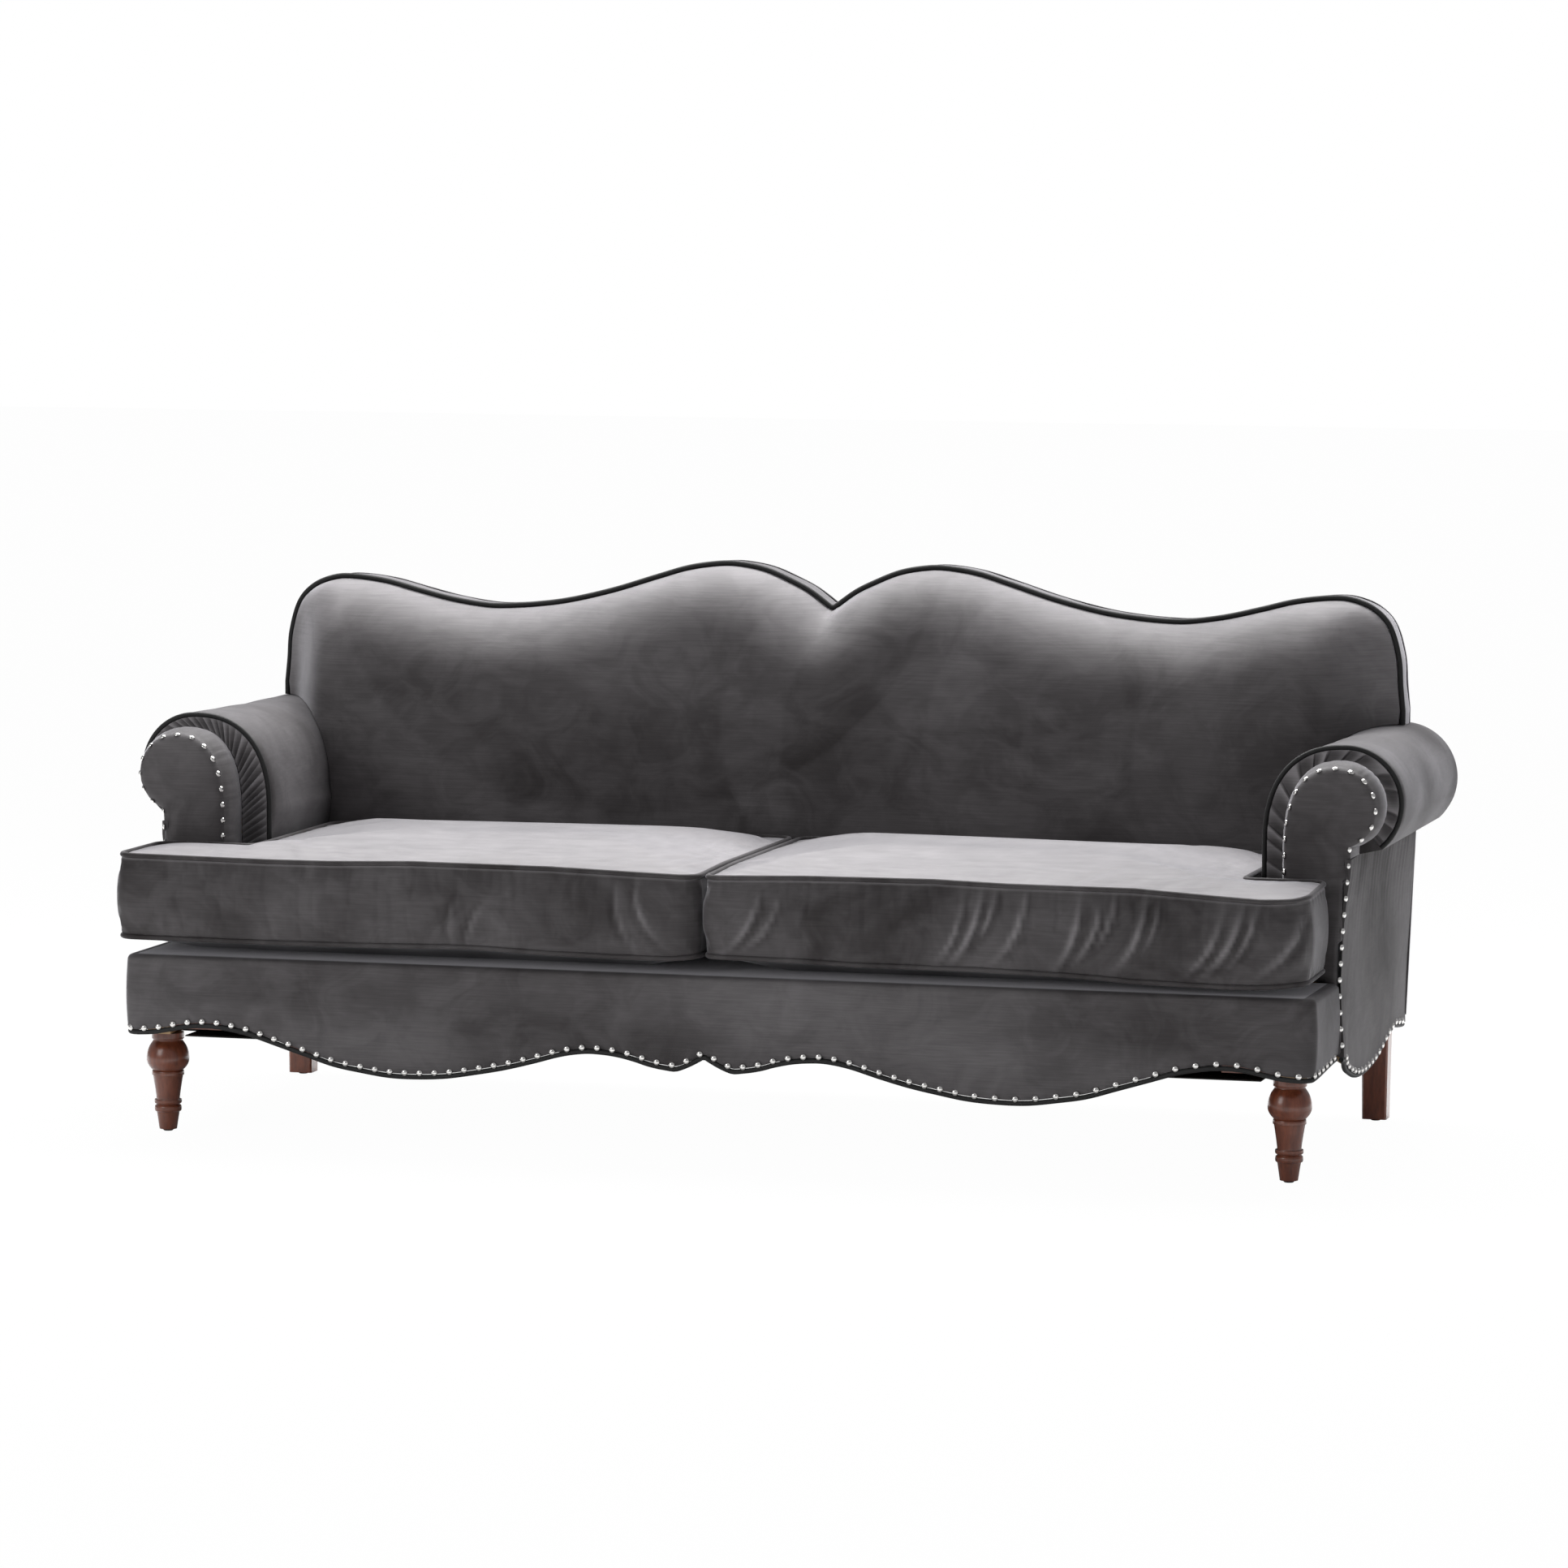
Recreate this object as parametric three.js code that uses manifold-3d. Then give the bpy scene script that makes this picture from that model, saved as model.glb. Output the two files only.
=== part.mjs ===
// A camelback sofa: scroll arms with a pleated band behind each facing, a double-humped back,
// two loose T-shaped seat cushions, a scalloped front and turned front legs.
// Millimetres. +X is to the right seen from the front, +Y to the back and +Z up.
// The origin is on the floor under the middle of the sofa. Right-hand pieces are drawn,
// and left-hand ones are mirrored.
import * as THREE from 'three';
import { mergeVertices } from 'three/addons/utils/BufferGeometryUtils.js';
import Module from 'manifold-3d';

const wasm = await Module();
wasm.setup();

// Fits
const seam = 0.4; // between pieces that touch
const liftRoom = 3; // round a loose cushion, so that it lifts out
const overrun = 30; // how far a cutting solid reaches past what it cuts

// Overall depth, from the nose of the cushions to the outside back
const depth = 885;
const noseY = -depth / 2;
const outsideBackY = depth / 2;
const rollX = 990; // from the middle to the axis of each roll

// Legs
const frontLegFromRail = 24.78; // from the outer face of the side rail to the axis of the leg
const rearLegFromRail = 11.28;
const frontLegInset = 85; // from the nose of the cushions to the axis of the front legs
const rearLegInset = 85; // from the outside back to the axis of the rear legs
const legTopZ = 165.6;
const legBallRadius = 35.6;
const rearLegWidth = 46;
const rearLegLength = 41;
const rearLegTaperShare = 0.1;
const rearLegEdge = 3;
const glideHeight = 3.4;
const glideRadius = 9;
const glidePinRadius = 2.5;
const glidePinLength = 12;
const boltRadius = 4;
const boltInLeg = 30;
const boltInRail = 38;

// Turned leg from the floor end up: radius as a share of the ball's, height as a share of the wood
const legProfileShares = [
  [0.41, 0], [0.52, 0.16], [0.56, 0.183], [0.62, 0.19], [0.62, 0.235], [0.55, 0.25], [0.56, 0.26],
  [0.63, 0.27], [0.63, 0.305], [0.545, 0.315], [0.7, 0.55], [0.75, 0.557], [0.75, 0.598],
  [0.7, 0.605], [0.86, 0.645], [0.97, 0.69], [1, 0.74], [0.96, 0.8], [0.86, 0.86], [0.71, 0.91],
  [0.69, 0.93], [0.76, 0.94], [0.76, 1],
];

// Seat frame of timber
const frameBottomZ = 166;
const frameTopZ = 276;
const railThickness = 27;
const sideRailThickness = 40;
const centreRailShare = 0.335; // of the way out to the side rails
const centreRailLift = 20;
const cornerBlockLeg = 90;
const cornerBlockInset = 10; // from the top and bottom of the rails
const dustCoverThickness = 2;
const dustCoverNotch = 66; // square kept clear of each leg, from the outer rail faces
const webThickness = 1.8;
const webWidth = 50;
const seatWebCount = 8;
const seatWebMargin = 135; // from the side rails to the nearest strap
const seatCrossShares = [0.16, 0.46, 0.76]; // places of the cross straps along the seat
const backWebCount = 5;
const backWebMargin = 230; // from the back posts to the nearest strap
const backCrossShares = [0.3, 0.7];

// Front border: the padded, scalloped apron that turns back to the arms
const borderPastRoll = 10; // sides of the border outside the axis of the roll
const borderThickness = 17.5;
const borderCornerRadius = 25;
const borderTopZ = 303;
const cushionNose = 10; // how far the cushions stand proud of the border
const weltRadius = 4.2;
const scallopCrestZ = 183.8;
const scallopDrop = 70.1;
const borderSideRise = 7; // of its lower edge from the front corners to the facings
const railLift = 12; // timber above the lower edge of its cover

// Lower edge of the front from the middle out: place along the half width, drop below the crest
const scallopShares = [
  [0, 0.231], [0.02, 0.388], [0.035, 0.485], [0.05, 0.553], [0.065, 0.532], [0.08, 0.504],
  [0.1, 0.445], [0.12, 0.362], [0.15, 0.271], [0.18, 0.227], [0.21, 0.228], [0.25, 0.32],
  [0.3, 0.518], [0.35, 0.696], [0.4, 0.832], [0.45, 0.947], [0.5, 0.994], [0.55, 0.989],
  [0.6, 0.9], [0.65, 0.78], [0.7, 0.571], [0.75, 0.359], [0.8, 0.147], [0.83, 0.064],
  [0.86, 0.006], [0.89, 0], [0.92, 0.044], [0.95, 0.128], [0.975, 0.188], [1, 0.211],
];

// Lower edge of the outside arm from the front back: place along it, drop below its front end
const sideCrestZ = 172.5;
const sideDrop = 52.5;
const sideShares = [
  [0, -0.055], [0.042, 0.02], [0.0836, 0.147], [0.1415, 0.434], [0.1997, 0.657], [0.288, 0.9],
  [0.376, 0.998], [0.4643, 0.996], [0.5526, 0.914], [0.612, 0.815], [0.6717, 0.651],
  [0.7306, 0.451], [0.791, 0.318], [0.852, 0.215], [0.9147, 0.299], [0.978, 0.375], [1, 0.394],
];

// Scroll arms
const rollZ = 585;
const rollRadius = 95.5;
const rollTaperShare = 0.038; // the roll grows slimmer towards the back
const rollDipShare = 0.019; // and is hollow between its ends
const rollSeatHalf = 137; // from the axis of the roll to the seat side of the arm
const rollSpringZ = 515; // where the seat side starts to turn over
const rollUnderAngle = 50; // degrees below level where the roll meets the outside arm
const scrollSquareShare = 0.83; // 1 is a plain ellipse, less is squarer
const armTuck = 12; // from the seat side of the roll to that of the arm below it
const innerArmTopZ = 455;
const innerArmPad = 35;
const neckPastRoll = 24.5; // where the roll meets the outside arm, outside its axis
const neckZ = 503;
const rollFrontInset = 332.5; // from the nose to the front of the roll
const facingInset = 230.5; // from the nose to the front of the facing
const facingPuff = 8;
const facingPuffDepth = 10;
const facingSeatHalf = 84;
const facingRadius = 66;
const facingUnderAngle = 68;
const facingNeckPastRoll = 13;
const facingWaistPastRoll = 5;
const facingNeckZ = 514;
const facingWaistZ = 400;
const postInset = 12; // timber inside the facing
const postThickness = 40;
const armRailDepth = 26;
const baseRailThickness = 12;
const bandThickness = 8;
const bandPleats = 30;
const bandPleatDepth = 4;
const bandBottomZ = 318;
const outsidePanelThickness = 10;
const outsidePanelLeanShare = 0.04; // it draws in towards the floor
const panelPastRoll = 12.5; // its inner face at the neck, outside the axis of the roll
const outsidePanelInset = 6; // from the front of the facing

// Back
const backPastRoll = 12; // sides of the back outside the axis of the roll
const backShoulderZ = 698;
const backHump = 229.3; // from the shoulder to the top of the humps
const boxingDepth = 64; // from the front welt to the outside back
const boxingThickness = 8;
const boxingDrop = 3; // boxing below the outside of the welt
const backWeltRadius = 4.5;
const outsideBackThickness = 8;
const backPostWidth = 52.6;
const topRailBottomZ = 760;
const topRailThickness = 30;
const lowerRailBottomZ = 306;
const lowerRailHeight = 60;
const lowerRailThickness = 40;
const centrePostWidth = 60;
const backPadThickness = 182;
const backPadTopThickness = 116;
const backPadEdge = 11;
const backPadUprightZ = 600; // upright below, leaning back above
const backPadRound = 110; // how far in from its top edge the padding is rounded
const backPadSideRound = 150;

// Top edge of the back from the middle out: place along the half width, height above the shoulder
const backShares = [
  [0, 0.679], [0.039, 0.802], [0.079, 0.889], [0.118, 0.957], [0.158, 0.992], [0.197, 1],
  [0.256, 0.964], [0.316, 0.887], [0.395, 0.779], [0.473, 0.697], [0.533, 0.659], [0.592, 0.64],
  [0.631, 0.644], [0.69, 0.682], [0.75, 0.743], [0.809, 0.807], [0.868, 0.839], [0.907, 0.83],
  [0.947, 0.76], [0.976, 0.624], [0.992, 0.392], [0.996, 0.174], [1, 0],
];

// Seat cushions
const cushionWeltRadius = 4.5;
const cushionTopZ = 467; // centre of the upper welt
const cushionBottomZ = 327; // centre of the lower welt
const cushionCrown = 27;
const earPastRoll = 22; // front welt corner of the left ear, which is stuffed out longer
const rightEarShort = 32; // how much shorter the right ear is
const cushionMeetX = -10; // where the two cushions meet
const cushionCorner = 34;
const cushionPuff = 10.5; // boxing beyond the welt where nothing presses on it
const cushionPressedPuff = 2;
const cushionCrownReach = 260; // how far in the top takes to reach its height
const cushionSagReach = 190;
const cushionDrawIn = 4; // how far the long sides pull in between corners

// Facets
const roundFacets = 16;
const smallFacets = 8;
const cordFacets = 6;
const frontSteps = 96;
const sideSteps = 26;
const borderSideSteps = 5;
const rollSteps = 6;
const backHalfSteps = 34;
const scrollQuarterFacets = 8;
const scrollRoundFacets = 12;

// Places worked out from the sizes
const borderFaceY = noseY + cushionNose;
const frontRailY = borderFaceY + borderThickness + seam;
const sideRailFrontY = frontRailY + railThickness + seam;
const rearRailRearY = outsideBackY - outsideBackThickness - seam;
const rearRailY = rearRailRearY - railThickness;
const frontLegY = noseY + frontLegInset;
const rearLegY = outsideBackY - rearLegInset;
const boxingFrontY = outsideBackY - boxingDepth;
const webTopZ = frameTopZ + seam + webThickness;
const deckBottomZ = webTopZ + seam;
const deckTopZ = borderTopZ;
const facingFrontY = noseY + facingInset;
const rollFrontY = noseY + rollFrontInset;
const facingRearY = rollFrontY - bandThickness - seam;
const postFrontY = facingRearY - postThickness;
const backWebY = boxingFrontY + seam;
const backFrameY = backWebY + webThickness + seam;
const armRearY = outsideBackY - seam;
const innerArmX = rollX - rollSeatHalf + armTuck;
const neckX = rollX + neckPastRoll;
const facingPostX = rollX;
const facingNeckX = rollX + facingNeckPastRoll;
const facingWaistX = rollX + facingWaistPastRoll;
const borderHalfWidth = rollX + borderPastRoll;
const backHalfWidth = rollX + backPastRoll;
const cushionEarX = rollX + earPastRoll;
const outsidePanelX = rollX + panelPastRoll;
const panelOuterX = outsidePanelX + outsidePanelThickness;
const panelFootX = outsidePanelX - (neckZ - sideCrestZ + sideDrop) * outsidePanelLeanShare;
const sideRailOuterX = panelFootX - baseRailThickness - seam;
const frontLegX = sideRailOuterX - frontLegFromRail;
const rearLegX = sideRailOuterX - rearLegFromRail;
const centreRailX = centreRailShare * sideRailOuterX;
const seatWebReach = sideRailOuterX - sideRailThickness - seatWebMargin;

const looks = {
  timber: { color: 0xb08a5c, roughness: 0.75 },
  ply: { color: 0xc2a071, roughness: 0.8 },
  web: { color: 0x4a4038, roughness: 0.95 },
  lining: { color: 0x1c1c1e, roughness: 0.95 },
  velvet: { color: 0x5a5859, roughness: 0.85 },
  velvetDark: { color: 0x3a3839, roughness: 0.85 },
  stainedWood: { color: 0x5c2618, roughness: 0.35 },
  glide: { color: 0x2b2724, roughness: 0.6 },
  steel: { color: 0x9a9a98, roughness: 0.4, metalness: 0.9 },
};

const sofa = new THREE.Group();

function place(name, geometry, look) {
  const mesh = new THREE.Mesh(geometry, new THREE.MeshStandardMaterial(looks[look]));
  mesh.name = name;
  sofa.add(mesh);
}

function mirrored(geometry) {
  const flipped = geometry.index ? geometry.toNonIndexed() : geometry.clone();
  flipped.deleteAttribute('normal');
  flipped.deleteAttribute('uv');
  flipped.scale(-1, 1, 1);
  const position = flipped.attributes.position;
  const second = new THREE.Vector3();
  const third = new THREE.Vector3();
  for (let i = 0; i < position.count; i += 3) {
    second.fromBufferAttribute(position, i + 1);
    third.fromBufferAttribute(position, i + 2);
    position.setXYZ(i + 1, third.x, third.y, third.z);
    position.setXYZ(i + 2, second.x, second.y, second.z);
  }
  flipped.computeVertexNormals();
  return flipped;
}

function placePair(name, geometry, look) {
  place(`right_${name}`, geometry, look);
  place(`left_${name}`, mirrored(geometry), look);
}

const at = (a, b) => new THREE.Vector2(a, b);

function extrude(points, length, steps) {
  return new THREE.ExtrudeGeometry(new THREE.Shape(points), { depth: length, steps, bevelEnabled: false });
}

// Points are x and z
function alongY(points, low, high, steps = 1) {
  return extrude(points, high - low, steps).rotateX(Math.PI / 2).translate(0, high, 0);
}

// Points are y and z
function alongX(points, low, high) {
  const turn = new THREE.Matrix4().set(0, 0, 1, low, 1, 0, 0, 0, 0, 1, 0, 0, 0, 0, 0, 1);
  return extrude(points, high - low, 1).applyMatrix4(turn);
}

// Points are x and y
function alongZ(points, low, high) {
  return extrude(points, high - low, 1).translate(0, 0, low);
}

function block(xLow, xHigh, yLow, yHigh, zLow, zHigh) {
  const box = new THREE.BoxGeometry(xHigh - xLow, yHigh - yLow, zHigh - zLow);
  return box.translate((xLow + xHigh) / 2, (yLow + yHigh) / 2, (zLow + zHigh) / 2);
}

// A round bar standing on its lower end
function bar(x, y, radius, zLow, zHigh) {
  const round = new THREE.CylinderGeometry(radius, radius, zHigh - zLow, smallFacets);
  return round.rotateX(Math.PI / 2).translate(x, y, (zLow + zHigh) / 2);
}

function turned(profile, facets, x, y) {
  return new THREE.LatheGeometry(profile, facets).rotateX(Math.PI / 2).translate(x, y, 0);
}

// A cord along a line through the points
function cord(points, radius, steps) {
  const section = [];
  for (let i = 0; i < cordFacets; i++) {
    const angle = (i / cordFacets) * 2 * Math.PI;
    section.push(at(radius * Math.cos(angle), radius * Math.sin(angle)));
  }
  const extrudePath = new THREE.CatmullRomCurve3(points, false, 'centripetal');
  return new THREE.ExtrudeGeometry(new THREE.Shape(section), { steps, extrudePath, bevelEnabled: false });
}

function solid(geometry) {
  const bare = geometry.clone();
  bare.deleteAttribute('normal');
  bare.deleteAttribute('uv');
  const merged = mergeVertices(bare);
  return new wasm.Manifold(new wasm.Mesh({
    numProp: 3,
    vertProperties: Float32Array.from(merged.attributes.position.array),
    triVerts: Uint32Array.from(merged.index.array),
  }));
}

function geometryOf(manifold) {
  const mesh = manifold.getMesh();
  const geometry = new THREE.BufferGeometry();
  geometry.setAttribute('position', new THREE.BufferAttribute(mesh.vertProperties, 3));
  geometry.setIndex(new THREE.BufferAttribute(mesh.triVerts, 1));
  geometry.computeVertexNormals();
  return geometry;
}

function cut(geometry, ...tools) {
  return geometryOf(tools.reduce((whole, tool) => whole.subtract(solid(tool)), solid(geometry)));
}

function joined(geometries) {
  return geometryOf(geometries.map(solid).reduce((whole, next) => whole.add(next)));
}

// Each point moved square to the line, to the left of its run
function offsetLine(points, distance) {
  return points.map((point, i) => {
    const before = points[Math.max(i - 1, 0)];
    const after = points[Math.min(i + 1, points.length - 1)];
    const run = after.clone().sub(before).normalize();
    return at(point.x - run.y * distance, point.y + run.x * distance);
  });
}

function smoothLine(shares, count, toPoint) {
  const curve = new THREE.SplineCurve(shares.map(([along, up]) => toPoint(along, up)));
  return curve.getSpacedPoints(count);
}

// A half line drawn from the middle out, made whole from left to right
function wholeLine(half) {
  const left = half.slice(1).reverse().map((point) => at(-point.x, point.y));
  return [...left, ...half];
}

// Front border, its welt and the front rail
function borderPlan(inset) {
  const corner = borderCornerRadius - inset;
  const halfWidth = borderHalfWidth - inset;
  const face = borderFaceY + inset;
  const right = [];
  for (let i = 0; i <= 4; i++) {
    const angle = (i / 4) * (Math.PI / 2);
    right.push(at(
      halfWidth - corner + corner * Math.sin(angle),
      face + corner - corner * Math.cos(angle),
    ));
  }
  for (const y of spread(face + corner, facingFrontY - seam, borderSideSteps).slice(1)) {
    right.push(at(halfWidth, y));
  }
  const left = right.map((point) => at(-point.x, point.y)).reverse();
  return { left, right };
}

const scallopHalf = smoothLine(
  scallopShares,
  frontSteps / 2,
  (along, drop) => at(
    along * (borderHalfWidth - borderCornerRadius),
    scallopCrestZ - drop * scallopDrop + weltRadius,
  ),
);
const scallopLine = wholeLine(scallopHalf);
const scallopEndZ = scallopLine[0].y;
const cornerEndY = borderFaceY + borderCornerRadius;

// Lower edge of the border's sides, which rises from the corners to the facings
function borderSideZ(y) {
  const back = Math.min(Math.max((y - cornerEndY) / (facingFrontY - cornerEndY), 0), 1);
  return scallopEndZ + borderSideRise * back ** 2 * (3 - 2 * back);
}

const weltPlan = borderPlan(weltRadius);
const borderWeltPoints = [
  ...weltPlan.left.map((point) => new THREE.Vector3(point.x, point.y, borderSideZ(point.y))),
  ...scallopLine.slice(1, -1).map((point) => (
    new THREE.Vector3(point.x, borderFaceY + weltRadius, point.y))),
  ...weltPlan.right.map((point) => new THREE.Vector3(point.x, point.y, borderSideZ(point.y))),
];
place('front_border_welt', cord(borderWeltPoints, weltRadius, frontSteps + 24), 'velvetDark');

function underLine(line, lift) {
  const edge = offsetLine(line, weltRadius + seam + lift);
  const first = edge[0];
  const last = edge[edge.length - 1];
  const lowZ = scallopCrestZ - 2 * scallopDrop;
  return [
    ...edge,
    at(borderHalfWidth + overrun, last.y),
    at(borderHalfWidth + overrun, lowZ),
    at(-borderHalfWidth - overrun, lowZ),
    at(-borderHalfWidth - overrun, first.y),
  ];
}

const borderOutside = borderPlan(0);
const borderInnerX = borderHalfWidth - borderThickness;
const borderWall = alongZ([
  ...borderOutside.left,
  ...borderOutside.right,
  at(borderInnerX, facingFrontY - seam),
  at(borderInnerX, borderFaceY + borderThickness),
  at(-borderInnerX, borderFaceY + borderThickness),
  at(-borderInnerX, facingFrontY - seam),
], scallopCrestZ - scallopDrop - overrun, borderTopZ);
const underSideRise = alongX([
  ...spread(cornerEndY, facingFrontY, borderSideSteps).map((y) => (
    at(y, borderSideZ(y) + weltRadius + seam))),
  at(facingFrontY, scallopEndZ - overrun),
  at(cornerEndY, scallopEndZ - overrun),
], borderInnerX - seam, borderHalfWidth + overrun);
place('front_border', cut(
  borderWall,
  alongY(underLine(scallopLine, 0), noseY - overrun, facingFrontY + overrun),
  underSideRise,
  mirrored(underSideRise),
), 'velvet');

const frontRailHalf = borderInnerX - seam;
const frontRailBlank = block(
  -frontRailHalf, frontRailHalf, frontRailY, frontRailY + railThickness,
  scallopCrestZ - scallopDrop - overrun, frameTopZ,
);
place('front_rail', cut(
  frontRailBlank,
  alongY(underLine(scallopLine, railLift), noseY - overrun, facingFrontY + overrun),
), 'timber');

// Seat frame
const sideRailInnerX = sideRailOuterX - sideRailThickness;
const frontBolt = [frontLegX, frontLegY];
const rearBolt = [rearLegX, rearLegY];
placePair('side_rail', cut(
  block(sideRailInnerX, sideRailOuterX, sideRailFrontY, rearRailY - seam, frameBottomZ, frameTopZ),
  ...[frontBolt, rearBolt].map(([x, y]) => (
    bar(x, y, boltRadius + seam, frameBottomZ - overrun, frameBottomZ + boltInRail))),
), 'timber');
place('rear_rail', block(
  -sideRailOuterX, sideRailOuterX, rearRailY, rearRailRearY, frameBottomZ, frameTopZ,
), 'timber');
placePair('centre_rail', block(
  centreRailX - railThickness / 2, centreRailX + railThickness / 2,
  sideRailFrontY, rearRailY - seam, frameBottomZ + centreRailLift, frameTopZ,
), 'timber');

const gussetX = sideRailInnerX - seam;
for (const [name, cornerY, inward] of [
  ['front_corner_block', sideRailFrontY, 1],
  ['rear_corner_block', rearRailY - seam, -1],
]) {
  placePair(name, alongZ([
    at(gussetX, cornerY),
    at(gussetX, cornerY + inward * cornerBlockLeg),
    at(gussetX - cornerBlockLeg, cornerY),
  ], frameBottomZ + cornerBlockInset, frameTopZ - cornerBlockInset), 'timber');
}

const coverX = sideRailOuterX - seam;
const coverFrontY = sideRailFrontY;
const notchX = coverX - dustCoverNotch;
const coverRight = [
  at(notchX, coverFrontY),
  at(notchX, coverFrontY + dustCoverNotch),
  at(coverX, coverFrontY + dustCoverNotch),
  at(coverX, rearLegY - dustCoverNotch / 2),
  at(notchX, rearLegY - dustCoverNotch / 2),
  at(notchX, rearRailRearY),
];
place('dust_cover', alongZ(
  [...coverRight, ...coverRight.map((point) => at(-point.x, point.y)).reverse()],
  frameBottomZ - seam - dustCoverThickness, frameBottomZ - seam,
), 'lining');

const seatWebRearY = rearRailY + railThickness / 2;
const seatWebFrontY = frontRailY + railThickness / 2;
const seatStraps = [];
for (let i = 0; i < seatWebCount; i++) {
  const x = seatWebReach * (2 * i / (seatWebCount - 1) - 1);
  seatStraps.push(block(
    x - webWidth / 2, x + webWidth / 2, seatWebFrontY, seatWebRearY, frameTopZ + seam, webTopZ,
  ));
}
const crossHalf = sideRailInnerX + sideRailThickness / 2;
for (const share of seatCrossShares) {
  const y = seatWebFrontY + share * (seatWebRearY - seatWebFrontY);
  seatStraps.push(block(
    -crossHalf, crossHalf, y - webWidth / 2, y + webWidth / 2, frameTopZ + seam, webTopZ,
  ));
}
place('seat_webbing', joined(seatStraps), 'web');

const deckEarX = borderInnerX - seam;
const deckInnerX = innerArmX - seam;
const deckRight = [
  at(deckEarX, frontRailY),
  at(deckEarX, facingFrontY - seam),
  at(deckInnerX, facingFrontY - seam),
  at(deckInnerX, boxingFrontY - seam),
];
place('seat_deck', alongZ(
  [...deckRight, ...deckRight.map((point) => at(-point.x, point.y)).reverse()],
  deckBottomZ, deckTopZ,
), 'velvetDark');

// Legs, glides and hanger bolts
const legWood = legTopZ - glideHeight;
const frontLegProfile = [
  at(0, glideHeight + glidePinLength + seam),
  at(glidePinRadius + seam, glideHeight + glidePinLength + seam),
  at(glidePinRadius + seam, glideHeight),
  ...legProfileShares.map(([radius, height]) => (
    at(radius * legBallRadius, glideHeight + height * legWood))),
  at(boltRadius + seam, legTopZ),
  at(boltRadius + seam, legTopZ - boltInLeg),
  at(0, legTopZ - boltInLeg),
];
placePair('front_leg', turned(frontLegProfile, roundFacets, frontLegX, frontLegY), 'stainedWood');

const halfW = rearLegWidth / 2;
const halfL = rearLegLength / 2;
const rearLegPlan = [
  at(halfW - rearLegEdge, -halfL), at(halfW, -halfL + rearLegEdge),
  at(halfW, halfL - rearLegEdge), at(halfW - rearLegEdge, halfL),
  at(-halfW + rearLegEdge, halfL), at(-halfW, halfL - rearLegEdge),
  at(-halfW, -halfL + rearLegEdge), at(-halfW + rearLegEdge, -halfL),
];
const rearLegBlank = alongZ(rearLegPlan, glideHeight, legTopZ);
const rearLegPosition = rearLegBlank.attributes.position;
for (let i = 0; i < rearLegPosition.count; i++) {
  const down = (legTopZ - rearLegPosition.getZ(i)) / legWood;
  const slim = 1 - rearLegTaperShare * down;
  rearLegPosition.setX(i, rearLegPosition.getX(i) * slim);
  rearLegPosition.setY(i, rearLegPosition.getY(i) * slim);
}
rearLegBlank.translate(rearLegX, rearLegY, 0);
placePair('rear_leg', cut(
  rearLegBlank,
  bar(rearLegX, rearLegY, glidePinRadius + seam, -overrun, glideHeight + glidePinLength + seam),
  bar(rearLegX, rearLegY, boltRadius + seam, legTopZ - boltInLeg, legTopZ + overrun),
), 'stainedWood');

const glideProfile = [
  at(0, 0),
  at(glideRadius * 0.8, 0),
  at(glideRadius, glideHeight / 2),
  at(glideRadius, glideHeight - seam),
  at(glidePinRadius, glideHeight - seam),
  at(glidePinRadius, glideHeight + glidePinLength),
  at(0, glideHeight + glidePinLength),
];
for (const [end, [x, y]] of [['front', frontBolt], ['rear', rearBolt]]) {
  placePair(`${end}_glide`, turned(glideProfile, roundFacets, x, y), 'glide');
  placePair(
    `${end}_hanger_bolt`,
    bar(x, y, boltRadius, legTopZ - boltInLeg + seam, frameBottomZ + boltInRail - seam),
    'steel',
  );
}

// Scroll of the right arm seen from the front: up the seat side, over the top and round under
function scrollLine(seatHalf, radius, underAngle) {
  const line = [];
  const rise = rollZ + radius - rollSpringZ;
  for (let i = 0; i <= scrollQuarterFacets; i++) {
    const angle = (i / scrollQuarterFacets) * (Math.PI / 2);
    line.push(at(
      rollX - seatHalf * Math.cos(angle) ** scrollSquareShare,
      rollSpringZ + rise * Math.sin(angle) ** scrollSquareShare,
    ));
  }
  const sweep = Math.PI / 2 + THREE.MathUtils.degToRad(underAngle);
  for (let i = 1; i <= scrollRoundFacets; i++) {
    const angle = Math.PI / 2 - (i / scrollRoundFacets) * sweep;
    line.push(at(rollX + radius * Math.cos(angle), rollZ + radius * Math.sin(angle)));
  }
  return line;
}

// Size of the roll at a place along it, as a share of its size at the front
function rollSlim(y) {
  const back = (y - rollFrontY) / (armRearY - rollFrontY);
  return 1 - rollTaperShare * back - rollDipShare * Math.sin(Math.PI * back);
}

// The padded roll with the pad down its seat side
function armPadBlank(grow) {
  const section = [
    at(innerArmX - grow, deckBottomZ),
    at(innerArmX - grow, innerArmTopZ),
    ...scrollLine(rollSeatHalf + grow, rollRadius + grow, rollUnderAngle),
    at(neckX, neckZ + seam),
    at(innerArmX + innerArmPad, neckZ + seam),
    at(innerArmX + innerArmPad, deckBottomZ),
  ];
  const blank = alongY(section, rollFrontY, armRearY, rollSteps);
  const position = blank.attributes.position;
  for (let i = 0; i < position.count; i++) {
    const z = position.getZ(i);
    if (z > neckZ + seam) {
      const slim = rollSlim(position.getY(i));
      position.setX(i, rollX + (position.getX(i) - rollX) * slim);
      position.setZ(i, neckZ + (z - neckZ) * slim);
    }
  }
  return blank;
}

const behindBoxing = block(
  0, backHalfWidth - boxingDrop + seam, boxingFrontY - seam, outsideBackY + overrun,
  0, rollZ + 2 * rollRadius,
);
placePair('arm_pad', cut(armPadBlank(0), behindBoxing), 'velvet');

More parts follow.
